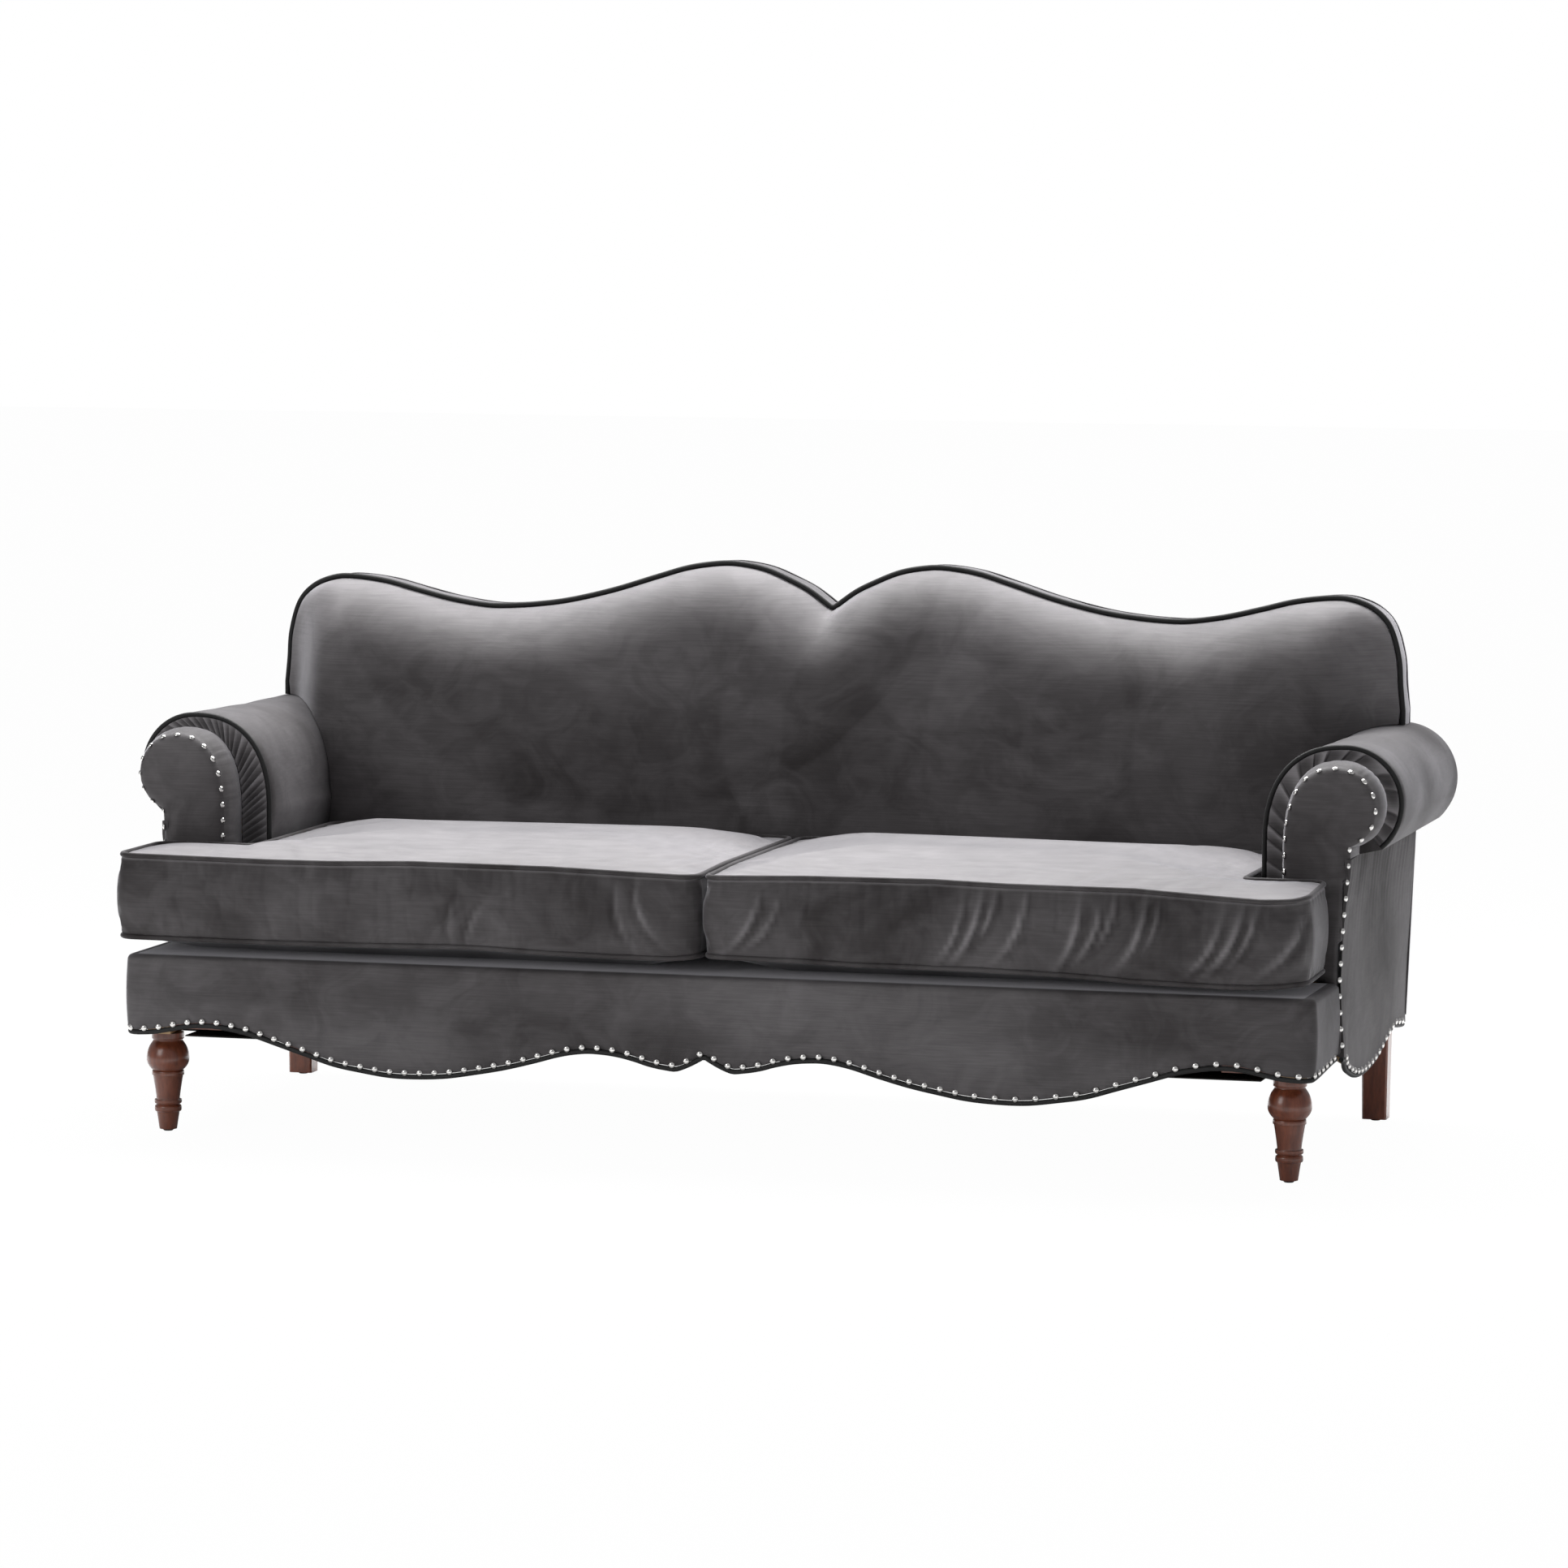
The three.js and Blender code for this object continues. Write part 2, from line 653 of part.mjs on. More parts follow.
// Side scallop, shared by the facing, the outside arm panel, its welt and the base rail
const sideLength = rearRailRearY - facingFrontY;
const sideLine = smoothLine(sideShares, sideSteps, (along, drop) => (
  at(facingFrontY + along * sideLength, sideCrestZ - drop * sideDrop + weltRadius)));

function underSide(lift) {
  const edge = offsetLine(sideLine, weltRadius + seam + lift);
  const lowZ = sideCrestZ - 2 * sideDrop;
  return [
    at(facingFrontY - overrun, edge[0].y),
    ...edge,
    at(outsideBackY + overrun, edge[edge.length - 1].y),
    at(outsideBackY + overrun, lowZ),
    at(facingFrontY - overrun, lowZ),
  ];
}

const sideReach = [0, rollX + 2 * rollRadius];
const facingBottomZ = sideCrestZ - sideDrop - overrun;

// Outside arm panel, which leans in towards the floor and covers the outer side of the facing
function outsidePanel(grow) {
  const panel = cut(
    alongX([
      at(facingFrontY + outsidePanelInset - grow, facingBottomZ),
      at(rearRailRearY, facingBottomZ),
      at(rearRailRearY, neckZ + grow),
      at(facingFrontY + outsidePanelInset - grow, neckZ + grow),
    ], outsidePanelX - grow, panelOuterX + grow * overrun),
    alongX(underSide(-grow), ...sideReach),
  );
  const position = panel.attributes.position;
  for (let i = 0; i < position.count; i++) {
    const below = neckZ - position.getZ(i);
    position.setX(i, position.getX(i) - below * outsidePanelLeanShare);
  }
  return panel;
}

// Facing, its timber post and the pocket that the post fills
const facingOutline = [
  at(rollX - facingSeatHalf, facingBottomZ),
  ...scrollLine(facingSeatHalf, facingRadius, facingUnderAngle),
  at(facingNeckX, facingNeckZ),
  at(facingWaistX, facingWaistZ),
  at(facingPostX, frameTopZ),
  at(facingPostX, facingBottomZ),
];
const facingBlank = new THREE.ExtrudeGeometry(new THREE.Shape(facingOutline), {
  depth: facingRearY - facingFrontY - 2 * facingPuffDepth,
  bevelThickness: facingPuffDepth,
  bevelSize: facingPuff,
  bevelSegments: 2,
}).rotateX(Math.PI / 2).translate(0, facingRearY - facingPuffDepth, 0);

function postOutline(grow, bottomZ) {
  const seatHalf = facingSeatHalf - postInset + grow;
  return [
    at(rollX - seatHalf, bottomZ),
    ...scrollLine(seatHalf, facingRadius - postInset + grow, facingUnderAngle),
    at(facingPostX - postInset + grow, facingNeckZ),
    at(facingPostX - postInset + grow, bottomZ),
  ];
}
const postPocket = alongY(
  postOutline(seam, frameTopZ - overrun), postFrontY - seam, facingRearY + overrun,
);
const seatCorner = block(
  rollX - 2 * facingSeatHalf, sideRailOuterX + seam, facingFrontY - overrun, facingRearY + overrun,
  facingBottomZ - overrun, deckTopZ + seam,
);
placePair('arm_facing', cut(
  facingBlank, postPocket, seatCorner, outsidePanel(seam), alongX(underSide(0), ...sideReach),
), 'velvet');
placePair('arm_front_post', alongY(
  postOutline(0, frameTopZ + seam), postFrontY, facingRearY,
), 'timber');

// Pleated band: a ring of folds between the facing and the welt of the roll
const bandOuter = scrollLine(
  rollSeatHalf - 2 * weltRadius - seam, rollRadius - 2 * weltRadius - seam, rollUnderAngle,
);
const bandInner = scrollLine(
  facingSeatHalf + seam, facingRadius + seam, rollUnderAngle,
);

function alongLine(line, bottomZ, share) {
  const whole = new THREE.CurvePath();
  const points = [at(line[0].x, bottomZ), ...line];
  points.slice(1).forEach((point, i) => whole.add(new THREE.LineCurve(points[i], point)));
  return whole.getPoint(share);
}

function pleatedBand() {
  const stations = bandPleats * 2;
  const rearY = rollFrontY - seam;
  const frontY = facingRearY + seam;
  const vertices = [];
  const faces = [];
  for (let i = 0; i <= stations; i++) {
    const fold = i % 2 ? bandPleatDepth : 0;
    const outer = alongLine(bandOuter, bandBottomZ, i / stations);
    const inner = alongLine(bandInner, bandBottomZ, i / stations);
    const frontEdge = frontY + fold;
    vertices.push(
      outer.x, rearY, outer.y, outer.x, frontEdge, outer.y,
      inner.x, frontEdge, inner.y, inner.x, rearY, inner.y,
    );
    if (i > 0) {
      const here = 4 * i;
      const last = here - 4;
      for (let k = 0; k < 4; k++) {
        const next = (k + 1) % 4;
        faces.push(last + k, last + next, here + next, last + k, here + next, here + k);
      }
    }
  }
  const end = 4 * stations;
  faces.push(0, 2, 1, 0, 3, 2, end, end + 1, end + 2, end, end + 2, end + 3);
  const geometry = new THREE.BufferGeometry();
  geometry.setAttribute('position', new THREE.Float32BufferAttribute(vertices, 3));
  geometry.setIndex(faces);
  geometry.computeVertexNormals();
  return geometry;
}
placePair('arm_pleat_band', pleatedBand(), 'velvet');

const rollWeltLine = scrollLine(
  rollSeatHalf - weltRadius, rollRadius - weltRadius, rollUnderAngle,
);
const rollWeltY = rollFrontY - seam - weltRadius;
const rollWeltPoints = [at(rollWeltLine[0].x, bandBottomZ), ...rollWeltLine]
  .map((point) => new THREE.Vector3(point.x, rollWeltY, point.y));
placePair('arm_roll_welt', cord(rollWeltPoints, weltRadius, 40), 'velvetDark');

// Arm frame and outside arm
const armRailInnerX = Math.max(rollX - facingSeatHalf + 2 * seam, innerArmX + innerArmPad + seam);
const armRailOuterX = outsidePanelX - armRailDepth * outsidePanelLeanShare - seam;
placePair('arm_rail', block(
  armRailInnerX, armRailOuterX, facingRearY + seam, backFrameY - seam, neckZ - armRailDepth, neckZ,
), 'timber');
const baseRailFrontY = facingRearY + seam;
placePair('arm_base_rail', cut(
  block(
    sideRailOuterX + seam, sideRailOuterX + baseRailThickness, baseRailFrontY, rearRailRearY,
    facingBottomZ, frameTopZ,
  ),
  alongX(underSide(railLift), ...sideReach),
), 'ply');

placePair('outside_arm_panel', outsidePanel(0), 'velvet');

const sideWeltPoints = sideLine.map((point) => new THREE.Vector3(
  outsidePanelX + outsidePanelThickness / 2 - (neckZ - point.y) * outsidePanelLeanShare,
  Math.max(point.x, facingFrontY + weltRadius / 2),
  point.y,
));
placePair('side_welt', cord(sideWeltPoints, weltRadius, sideSteps), 'velvetDark');

// Back
const backHalf = smoothLine(backShares, backHalfSteps, (along, up) => (
  at(along * backHalfWidth, backShoulderZ + up * backHump)));
const backLine = wholeLine(backHalf);
const boxingBottomZ = neckZ + overrun;

function backEdge(inset, bottomZ) {
  const edge = offsetLine(backLine, -inset);
  const halfWidth = backHalfWidth - inset;
  return [at(-halfWidth, bottomZ), ...edge, at(halfWidth, bottomZ)];
}

const backWeltBottomZ = neckZ + (rollZ + rollRadius - neckZ) * rollSlim(boxingFrontY) + 2 * seam;
const boxingOuter = backEdge(boxingDrop, boxingBottomZ);
const boxingInner = backEdge(boxingDrop + boxingThickness, boxingBottomZ);
place('back_border', alongY(
  [...boxingOuter, ...boxingInner.reverse()], boxingFrontY, rearRailRearY,
), 'velvet');

const backWeltLine = backEdge(backWeltRadius, backWeltBottomZ);
const backWeltPoints = backWeltLine.map((point) => (
  new THREE.Vector3(point.x, boxingFrontY - seam - backWeltRadius, point.y)));
place('back_welt', cord(backWeltPoints, backWeltRadius, 2 * backHalfSteps + 16), 'velvetDark');

const outsideBackTop = offsetLine(backLine, -boxingDrop);
const outsideBackHalf = backHalfWidth - boxingDrop;
const outsideBackLowerX = panelOuterX - (neckZ - sideCrestZ) * outsidePanelLeanShare;
place('outside_back_panel', alongY([
  ...outsideBackTop,
  at(outsideBackHalf, neckZ),
  at(panelOuterX, neckZ),
  at(outsideBackLowerX, sideCrestZ),
  at(-outsideBackLowerX, sideCrestZ),
  at(-panelOuterX, neckZ),
  at(-outsideBackHalf, neckZ),
], rearRailRearY + seam, outsideBackY), 'velvet');

const frameInset = boxingDrop + boxingThickness + 2 * seam;
const topRailEdge = offsetLine(backLine, -frameInset).filter((point) => point.y > topRailBottomZ);
place('back_top_rail', alongY([
  ...topRailEdge,
  at(topRailEdge[topRailEdge.length - 1].x, topRailBottomZ),
  at(topRailEdge[0].x, topRailBottomZ),
], backFrameY, backFrameY + topRailThickness), 'timber');
const backPostOuterX = Math.min(
  outsidePanelX - (neckZ - frameTopZ) * outsidePanelLeanShare - seam,
  topRailEdge[topRailEdge.length - 1].x,
);
const backPostInnerX = backPostOuterX - backPostWidth;
placePair('back_post', block(
  backPostInnerX, backPostOuterX, backFrameY, rearRailRearY,
  frameTopZ + seam, topRailBottomZ - seam,
), 'timber');
place('back_lower_rail', block(
  -backPostInnerX + seam, backPostInnerX - seam, backFrameY, backFrameY + lowerRailThickness,
  lowerRailBottomZ, lowerRailBottomZ + lowerRailHeight,
), 'timber');
place('back_centre_post', block(
  -centrePostWidth / 2, centrePostWidth / 2, backFrameY, backFrameY + topRailThickness,
  lowerRailBottomZ + lowerRailHeight + seam, topRailBottomZ - seam,
), 'timber');

const backWebLowZ = lowerRailBottomZ + seam;
const backWebHighZ = topRailBottomZ + webWidth / 2;
const backWebReach = backPostInnerX - backWebMargin;
const backStraps = [];
for (let i = 0; i < backWebCount; i++) {
  const x = backWebReach * (2 * i / (backWebCount - 1) - 1);
  backStraps.push(block(
    x - webWidth / 2, x + webWidth / 2, backWebY, backWebY + webThickness, backWebLowZ, backWebHighZ,
  ));
}
const backCrossHalf = (backPostInnerX + backPostOuterX) / 2;
for (const share of backCrossShares) {
  const z = backWebLowZ + share * (backWebHighZ - backWebLowZ);
  backStraps.push(block(
    -backCrossHalf, backCrossHalf, backWebY, backWebY + webThickness, z - webWidth / 2, z + webWidth / 2,
  ));
}
place('back_webbing', joined(backStraps), 'web');

// Inside back: upright behind the seat, leaning away above, rounded over to the welt
const padInset = 2 * backWeltRadius + 2 * seam;

function backTopZ(x) {
  const reach = Math.abs(x);
  const i = backHalf.findIndex((point) => point.x >= reach);
  if (i < 1) {
    return i < 0 ? backShoulderZ : backHalf[0].y;
  }
  const [a, b] = [backHalf[i - 1], backHalf[i]];
  return a.y + ((reach - a.x) / Math.max(b.x - a.x, seam)) * (b.y - a.y);
}

function backPadFront(x, z) {
  const lean = Math.min(Math.max((z - backPadUprightZ) / (backTopZ(x) - backPadUprightZ), 0), 1);
  const full = backPadThickness + (backPadTopThickness - backPadThickness) * lean;
  const inFromTop = Math.max(backTopZ(x) - padInset - z, 0);
  const inFromSide = Math.max(backHalfWidth - padInset - Math.abs(x), 0);
  const roundTop = Math.min(inFromTop / backPadRound, 1);
  const roundSide = Math.min(inFromSide / backPadSideRound, 1);
  const round = Math.sqrt(1 - (1 - roundTop) ** 2) * Math.sin(roundSide * (Math.PI / 2));
  return boxingFrontY - seam - backPadEdge - (full - backPadEdge) * round;
}

const padColumnsHalfShares = [0, 0.04, 0.1, 0.2, 0.3, 0.4, 0.5, 0.6, 0.7, 0.8, 0.87, 0.92, 0.96, 0.99, 1.02];
const padRowShares = [0, 0.3, 0.47, 0.6, 0.72, 0.82, 0.89, 0.94, 0.975, 1.03];

function sheetSolid(columns, rows, frontPoint, backPoint) {
  const vertices = [];
  const faces = [];
  for (const toPoint of [frontPoint, backPoint]) {
    for (let i = 0; i < columns; i++) {
      for (let j = 0; j < rows; j++) {
        vertices.push(...toPoint(i, j));
      }
    }
  }
  const front = (i, j) => i * rows + j;
  const rear = (i, j) => columns * rows + i * rows + j;
  const quad = (a, b, c, d) => faces.push(a, b, c, a, c, d);
  for (let i = 0; i + 1 < columns; i++) {
    for (let j = 0; j + 1 < rows; j++) {
      quad(front(i, j), front(i + 1, j), front(i + 1, j + 1), front(i, j + 1));
      quad(rear(i, j), rear(i, j + 1), rear(i + 1, j + 1), rear(i + 1, j));
    }
    quad(rear(i, 0), rear(i + 1, 0), front(i + 1, 0), front(i, 0));
    quad(front(i, rows - 1), front(i + 1, rows - 1), rear(i + 1, rows - 1), rear(i, rows - 1));
  }
  for (let j = 0; j + 1 < rows; j++) {
    quad(front(0, j), front(0, j + 1), rear(0, j + 1), rear(0, j));
    quad(front(columns - 1, j), rear(columns - 1, j), rear(columns - 1, j + 1), front(columns - 1, j + 1));
  }
  const geometry = new THREE.BufferGeometry();
  geometry.setAttribute('position', new THREE.Float32BufferAttribute(vertices, 3));
  geometry.setIndex(faces);
  return geometry;
}

const padColumnShares = [
  ...padColumnsHalfShares.slice(1).reverse().map((share) => -share), ...padColumnsHalfShares,
];
const padBottomZ = deckTopZ + seam;
const padPlace = (i, j) => {
  const x = padColumnShares[i] * backHalfWidth;
  return [x, padBottomZ + padRowShares[j] * (backTopZ(x) - padBottomZ)];
};
const backPadBlank = sheetSolid(
  padColumnShares.length,
  padRowShares.length,
  (i, j) => {
    const [x, z] = padPlace(i, j);
    return [x, backPadFront(x, z), z];
  },
  (i, j) => {
    const [x, z] = padPlace(i, j);
    return [x, boxingFrontY - seam, z];
  },
);
const padInnerX = innerArmX + innerArmPad / 2;
const padShape = alongY([
  ...offsetLine(backLine, -padInset),
  at(backHalfWidth - padInset, rollZ + rollRadius / 2),
  at(padInnerX, neckZ + 2 * seam),
  at(padInnerX, padBottomZ),
  at(-padInnerX, padBottomZ),
  at(-padInnerX, neckZ + 2 * seam),
  at(-backHalfWidth + padInset, rollZ + rollRadius / 2),
], noseY, boxingFrontY + overrun);
const rightArmSpace = armPadBlank(2 * seam);
const backPad = solid(backPadBlank)
  .intersect(solid(padShape))
  .subtract(solid(rightArmSpace))
  .subtract(solid(mirrored(rightArmSpace)));
place('inside_back_pad', geometryOf(backPad), 'velvet');

// Seat cushions: the right one, with its ear in front of the arm
const cushionOut = cushionWeltRadius + cushionPressedPuff;
const cushionInnerX = liftRoom / 2 + cushionOut;
const cushionArmX = rollX - rollSeatHalf - liftRoom - cushionOut;
const cushionFrontY = noseY + cushionWeltRadius + cushionPuff;
const cushionEarY = facingFrontY - liftRoom - cushionOut;
const cushionRearY = boxingFrontY - seam - backPadThickness - liftRoom - cushionOut;

function spread(low, high, count) {
  return Array.from({ length: count + 1 }, (_, i) => low + (i / count) * (high - low));
}

const cushionXs = [
  cushionInnerX,
  ...spread(cushionInnerX + cushionCorner, cushionArmX - cushionCorner, 5),
  cushionArmX,
  ...spread(cushionArmX + cushionCorner, cushionEarX - cushionCorner, 2),
  cushionEarX,
];
const cushionYs = [
  cushionFrontY,
  ...spread(cushionFrontY + cushionCorner, cushionEarY - cushionCorner, 2),
  cushionEarY,
  ...spread(cushionEarY + cushionCorner, cushionRearY - cushionCorner, 3),
  cushionRearY,
];

function inCushion(i, j) {
  return cushionXs[i] <= cushionArmX || cushionYs[j] <= cushionEarY;
}

// Distance in from the edge, which rounds the inner corner of the T
function cushionDepthIn(x, y) {
  let toArm = cushionArmX - x;
  if (x > cushionArmX) {
    toArm = Math.min(cushionEarX - x, cushionEarY - y);
  } else if (y < cushionEarY) {
    toArm = Math.hypot(cushionArmX - x, cushionEarY - y);
  }
  return Math.max(Math.min(x - cushionInnerX, y - cushionFrontY, cushionRearY - y, toArm), 0);
}

function crownShare(x, y) {
  const share = Math.min(cushionDepthIn(x, y) / cushionCrownReach, 1);
  return share ** 1.5 * (2.5 - 1.5 * share);
}

function sagShare(x, y) {
  const share = Math.min(cushionDepthIn(x, y) / cushionSagReach, 1);
  return Math.sqrt(1 - (1 - share) ** 2);
}

// The edge of the cushion, run anticlockwise seen from above
const lastX = cushionXs.length - 1;
const lastY = cushionYs.length - 1;
const armColumn = cushionXs.indexOf(cushionArmX);
const earRow = cushionYs.indexOf(cushionEarY);
const cushionEdge = [];
for (let i = 0; i < lastX; i++) cushionEdge.push([i, 0]);
for (let j = 0; j < earRow; j++) cushionEdge.push([lastX, j]);
for (let i = lastX; i > armColumn; i--) cushionEdge.push([i, earRow]);
for (let j = earRow; j < lastY; j++) cushionEdge.push([armColumn, j]);
for (let i = armColumn; i > 0; i--) cushionEdge.push([i, lastY]);
for (let j = lastY; j > 0; j--) cushionEdge.push([0, j]);

const cornerCut = cushionCorner * (1 - Math.SQRT1_2);

function edgePlace(i, j) {
  const outward = at(0, 0);
  if (i === 0) outward.x -= 1;
  if (i === lastX || (i === armColumn && j > earRow)) outward.x += 1;
  if (j === 0) outward.y -= 1;
  if (j === lastY || (j === earRow && i > armColumn)) outward.y += 1;
  const corner = outward.x !== 0 && outward.y !== 0;
  const inset = corner ? cornerCut : 0;
  const spot = at(cushionXs[i] - outward.x * inset, cushionYs[j] - outward.y * inset);
  if (i === armColumn && j === earRow) outward.set(1, 1);
  const free = outward.y < 0 || (i === lastX && outward.x > 0);
  const along = j === 0 || j === lastY ? (cushionXs[i] - cushionInnerX) / (cushionArmX - cushionInnerX) : 0;
  const draw = corner ? 0 : cushionDrawIn * Math.sin(Math.PI * Math.min(Math.max(along, 0), 1));
  outward.normalize();
  spot.addScaledVector(outward, -draw);
  return { place: spot, outward, puff: free ? cushionPuff : cushionPressedPuff };
}

function cushionGeometry() {
  const cushionUnderZ = cushionBottomZ - cushionWeltRadius * Math.SQRT1_2;
  const vertices = [];
  const faces = [];
  const lids = [
    { z: cushionTopZ + cushionWeltRadius * Math.SQRT1_2, rise: cushionCrown, swell: crownShare },
    { z: cushionUnderZ, rise: deckTopZ + seam - cushionUnderZ, swell: sagShare },
  ];
  const lidIndex = lids.map(() => new Map());
  const key = (i, j) => i * (lastY + 1) + j;
  lids.forEach(({ z, rise, swell }, lid) => {
    for (let i = 0; i <= lastX; i++) {
      for (let j = 0; j <= lastY; j++) {
        if (inCushion(i, j)) {
          const onEdge = cushionEdge.some(([a, b]) => a === i && b === j);
          const spot = onEdge ? edgePlace(i, j).place : at(cushionXs[i], cushionYs[j]);
          lidIndex[lid].set(key(i, j), vertices.length / 3);
          vertices.push(spot.x, spot.y, z + (onEdge ? 0 : rise * swell(spot.x, spot.y)));
        }
      }
    }
    for (let i = 0; i < lastX; i++) {
      for (let j = 0; j < lastY; j++) {
        if (inCushion(i + 1, j + 1)) {
          const corners = [[i, j], [i + 1, j], [i + 1, j + 1], [i, j + 1]]
            .map(([a, b]) => lidIndex[lid].get(key(a, b)));
          const [a, b, c, d] = lid ? corners.reverse() : corners;
          faces.push(a, b, c, a, c, d);
        }
      }
    }
  });
  const weltStep = cushionWeltRadius * Math.SQRT1_2;
  const tall = cushionTopZ - cushionBottomZ;
  const rings = [
    { z: cushionTopZ, out: cushionWeltRadius, puff: 0 },
    { z: cushionTopZ - weltStep, out: cushionWeltRadius - weltStep, puff: 0 },
    { z: cushionTopZ - tall / 4, out: cushionWeltRadius, puff: 0.8 },
    { z: cushionTopZ - tall / 2, out: cushionWeltRadius, puff: 1 },
    { z: cushionBottomZ + tall / 4, out: cushionWeltRadius, puff: 0.8 },
    { z: cushionBottomZ + weltStep, out: cushionWeltRadius - weltStep, puff: 0 },
    { z: cushionBottomZ, out: cushionWeltRadius, puff: 0 },
  ];
  const loops = [cushionEdge.map(([i, j]) => lidIndex[0].get(key(i, j)))];
  for (const ring of rings) {
    loops.push(cushionEdge.map(([i, j]) => {
      const edge = edgePlace(i, j);
      const spot = edge.place.clone().addScaledVector(edge.outward, ring.out + ring.puff * edge.puff);
      vertices.push(spot.x, spot.y, ring.z);
      return vertices.length / 3 - 1;
    }));
  }
  loops.push(cushionEdge.map(([i, j]) => lidIndex[1].get(key(i, j))));
  for (let r = 0; r + 1 < loops.length; r++) {
    const [upper, lower] = [loops[r], loops[r + 1]];
    upper.forEach((a, n) => {
      const next = (n + 1) % upper.length;
      faces.push(a, lower[n], lower[next], a, lower[next], upper[next]);
    });
  }
  const geometry = new THREE.BufferGeometry();
  geometry.setAttribute('position', new THREE.Float32BufferAttribute(vertices, 3));
  geometry.setIndex(faces);
  geometry.computeVertexNormals();
  return geometry;
}

// Drawn on one plan, then stretched sideways to its own inner edge and ear
function fittedCushion(innerX, earX) {
  const geometry = cushionGeometry();
  const position = geometry.attributes.position;
  const innerStretch = (cushionArmX - innerX) / (cushionArmX - cushionInnerX);
  const earStretch = (earX - cushionArmX) / (cushionEarX - cushionArmX);
  for (let i = 0; i < position.count; i++) {
    const beyondArm = position.getX(i) - cushionArmX;
    position.setX(i, cushionArmX + beyondArm * (beyondArm > 0 ? earStretch : innerStretch));
  }
  return geometry;
}
place('right_seat_cushion', fittedCushion(
  cushionInnerX + cushionMeetX, cushionEarX - rightEarShort,
), 'velvet');
place('left_seat_cushion', mirrored(fittedCushion(
  cushionInnerX - cushionMeetX, cushionEarX,
)), 'velvet');

export default sofa;
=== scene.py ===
from math import acos, cos, exp, pi, radians, sin, tan

import bmesh
import bpy
import numpy as np
from mathutils import Matrix, Vector


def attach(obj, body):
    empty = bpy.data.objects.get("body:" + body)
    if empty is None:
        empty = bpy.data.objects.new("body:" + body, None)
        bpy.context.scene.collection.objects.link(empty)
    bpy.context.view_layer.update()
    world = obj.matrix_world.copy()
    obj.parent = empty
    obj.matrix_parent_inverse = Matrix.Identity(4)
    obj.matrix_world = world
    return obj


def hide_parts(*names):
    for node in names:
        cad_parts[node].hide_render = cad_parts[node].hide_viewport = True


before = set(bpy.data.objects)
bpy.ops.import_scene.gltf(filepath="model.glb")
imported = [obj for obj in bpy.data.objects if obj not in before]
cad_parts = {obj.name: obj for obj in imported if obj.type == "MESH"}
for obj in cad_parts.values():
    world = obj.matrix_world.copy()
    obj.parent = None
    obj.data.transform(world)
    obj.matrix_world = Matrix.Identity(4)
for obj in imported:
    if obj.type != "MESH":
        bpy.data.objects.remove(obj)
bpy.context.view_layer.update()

# Sizes of the sofa in metres, as in its part
SEAM = 0.0004
BORDER_FACE_Y, BORDER_HALF, BORDER_CORNER, BORDER_SIDE_RISE = -0.4325, 1.000, 0.025, 0.007
BORDER_THICK, BORDER_TOP_Z = 0.0175, 0.303
DECK_TOP_Z, DECK_BOTTOM_Z = 0.303, 0.2786
DECK_HALF, DECK_FRONT_Y, DECK_REAR_Y = 0.9821, -0.4146, 0.3781
WELT_RADIUS, BACK_WELT_RADIUS, CUSHION_WELT_RADIUS = 0.0042, 0.0045, 0.0045
SCALLOP_CREST_Z, SCALLOP_DROP = 0.1838, 0.0701
SIDE_CREST_Z, SIDE_DROP, SIDE_REAR_Y = 0.1725, 0.0525, 0.4341
ROLL_X, ROLL_Z, ROLL_RADIUS, ROLL_SEAT_HALF = 0.990, 0.585, 0.0955, 0.137
ROLL_SPRING_Z, ROLL_UNDER, ROLL_TAPER, ROLL_DIP = 0.515, radians(50), 0.038, 0.019
ROLL_FRONT_Y, ROLL_REAR_Y, SCROLL_SQUARE = -0.110, 0.4421, 0.83
INNER_ARM_X, INNER_ARM_TOP_Z, INNER_ARM_PAD = 0.865, 0.455, 0.035
NECK_X, NECK_Z = 1.0145, 0.503
FACING_FRONT_Y, FACING_REAR_Y = -0.212, -0.1184
FACING_SEAT_HALF, FACING_RADIUS, FACING_UNDER = 0.084, 0.066, radians(68)
SIDE_RAIL_X, BAND_BOTTOM_Z = 0.9748, 0.318
PANEL_OUTER_X, PANEL_THICK, PANEL_LEAN, PANEL_FRONT_Y = 1.0125, 0.010, 0.04, -0.206
PANEL_FOOT_IN, OUTSIDE_BACK_Y = 0.0132, 0.4425
BACK_HALF, BACK_SHOULDER_Z, BACK_HUMP, BACK_CORNER_PLACE = 1.002, 0.698, 0.2293, 1.03
BOXING_FRONT_Y, BOXING_THICK, BOXING_DROP, BOXING_BOTTOM_Z = 0.3785, 0.008, 0.003, 0.533
PAD_THICK, PAD_TOP_THICK, PAD_EDGE, PAD_UPRIGHT_Z = 0.182, 0.116, 0.011, 0.600
PAD_ROUND, PAD_SIDE_ROUND, PAD_BEND = 0.110, 0.150, 0.080
PAD_GAP, PAD_ARM_GAP, PAD_ROLL_Y = 0.0015, 0.001, 0.2
CUSHION_TOP_Z, CUSHION_BOTTOM_Z = 0.467, 0.327
CUSHION_INNER_X, CUSHION_ARM_X, CUSHION_MEET_X = 0.008, 0.8435, -0.010
CUSHION_FRONT_Y, CUSHION_EAR_Y, CUSHION_REAR_Y = -0.4275, -0.2215, 0.1866
CUSHION_EAR_X = {"right": 0.980, "left": 1.012}
CUSHION_CORNER, CUSHION_INNER_CORNER = 0.030, 0.020
CUSHION_NOSE = {"right": 0.060, "left": 0.030}
FRONT_LEG, LEG_TOP_Z, LEG_RADIUS, GLIDE_HEIGHT = (0.950, -0.3575), 0.1656, 0.0356, 0.0034

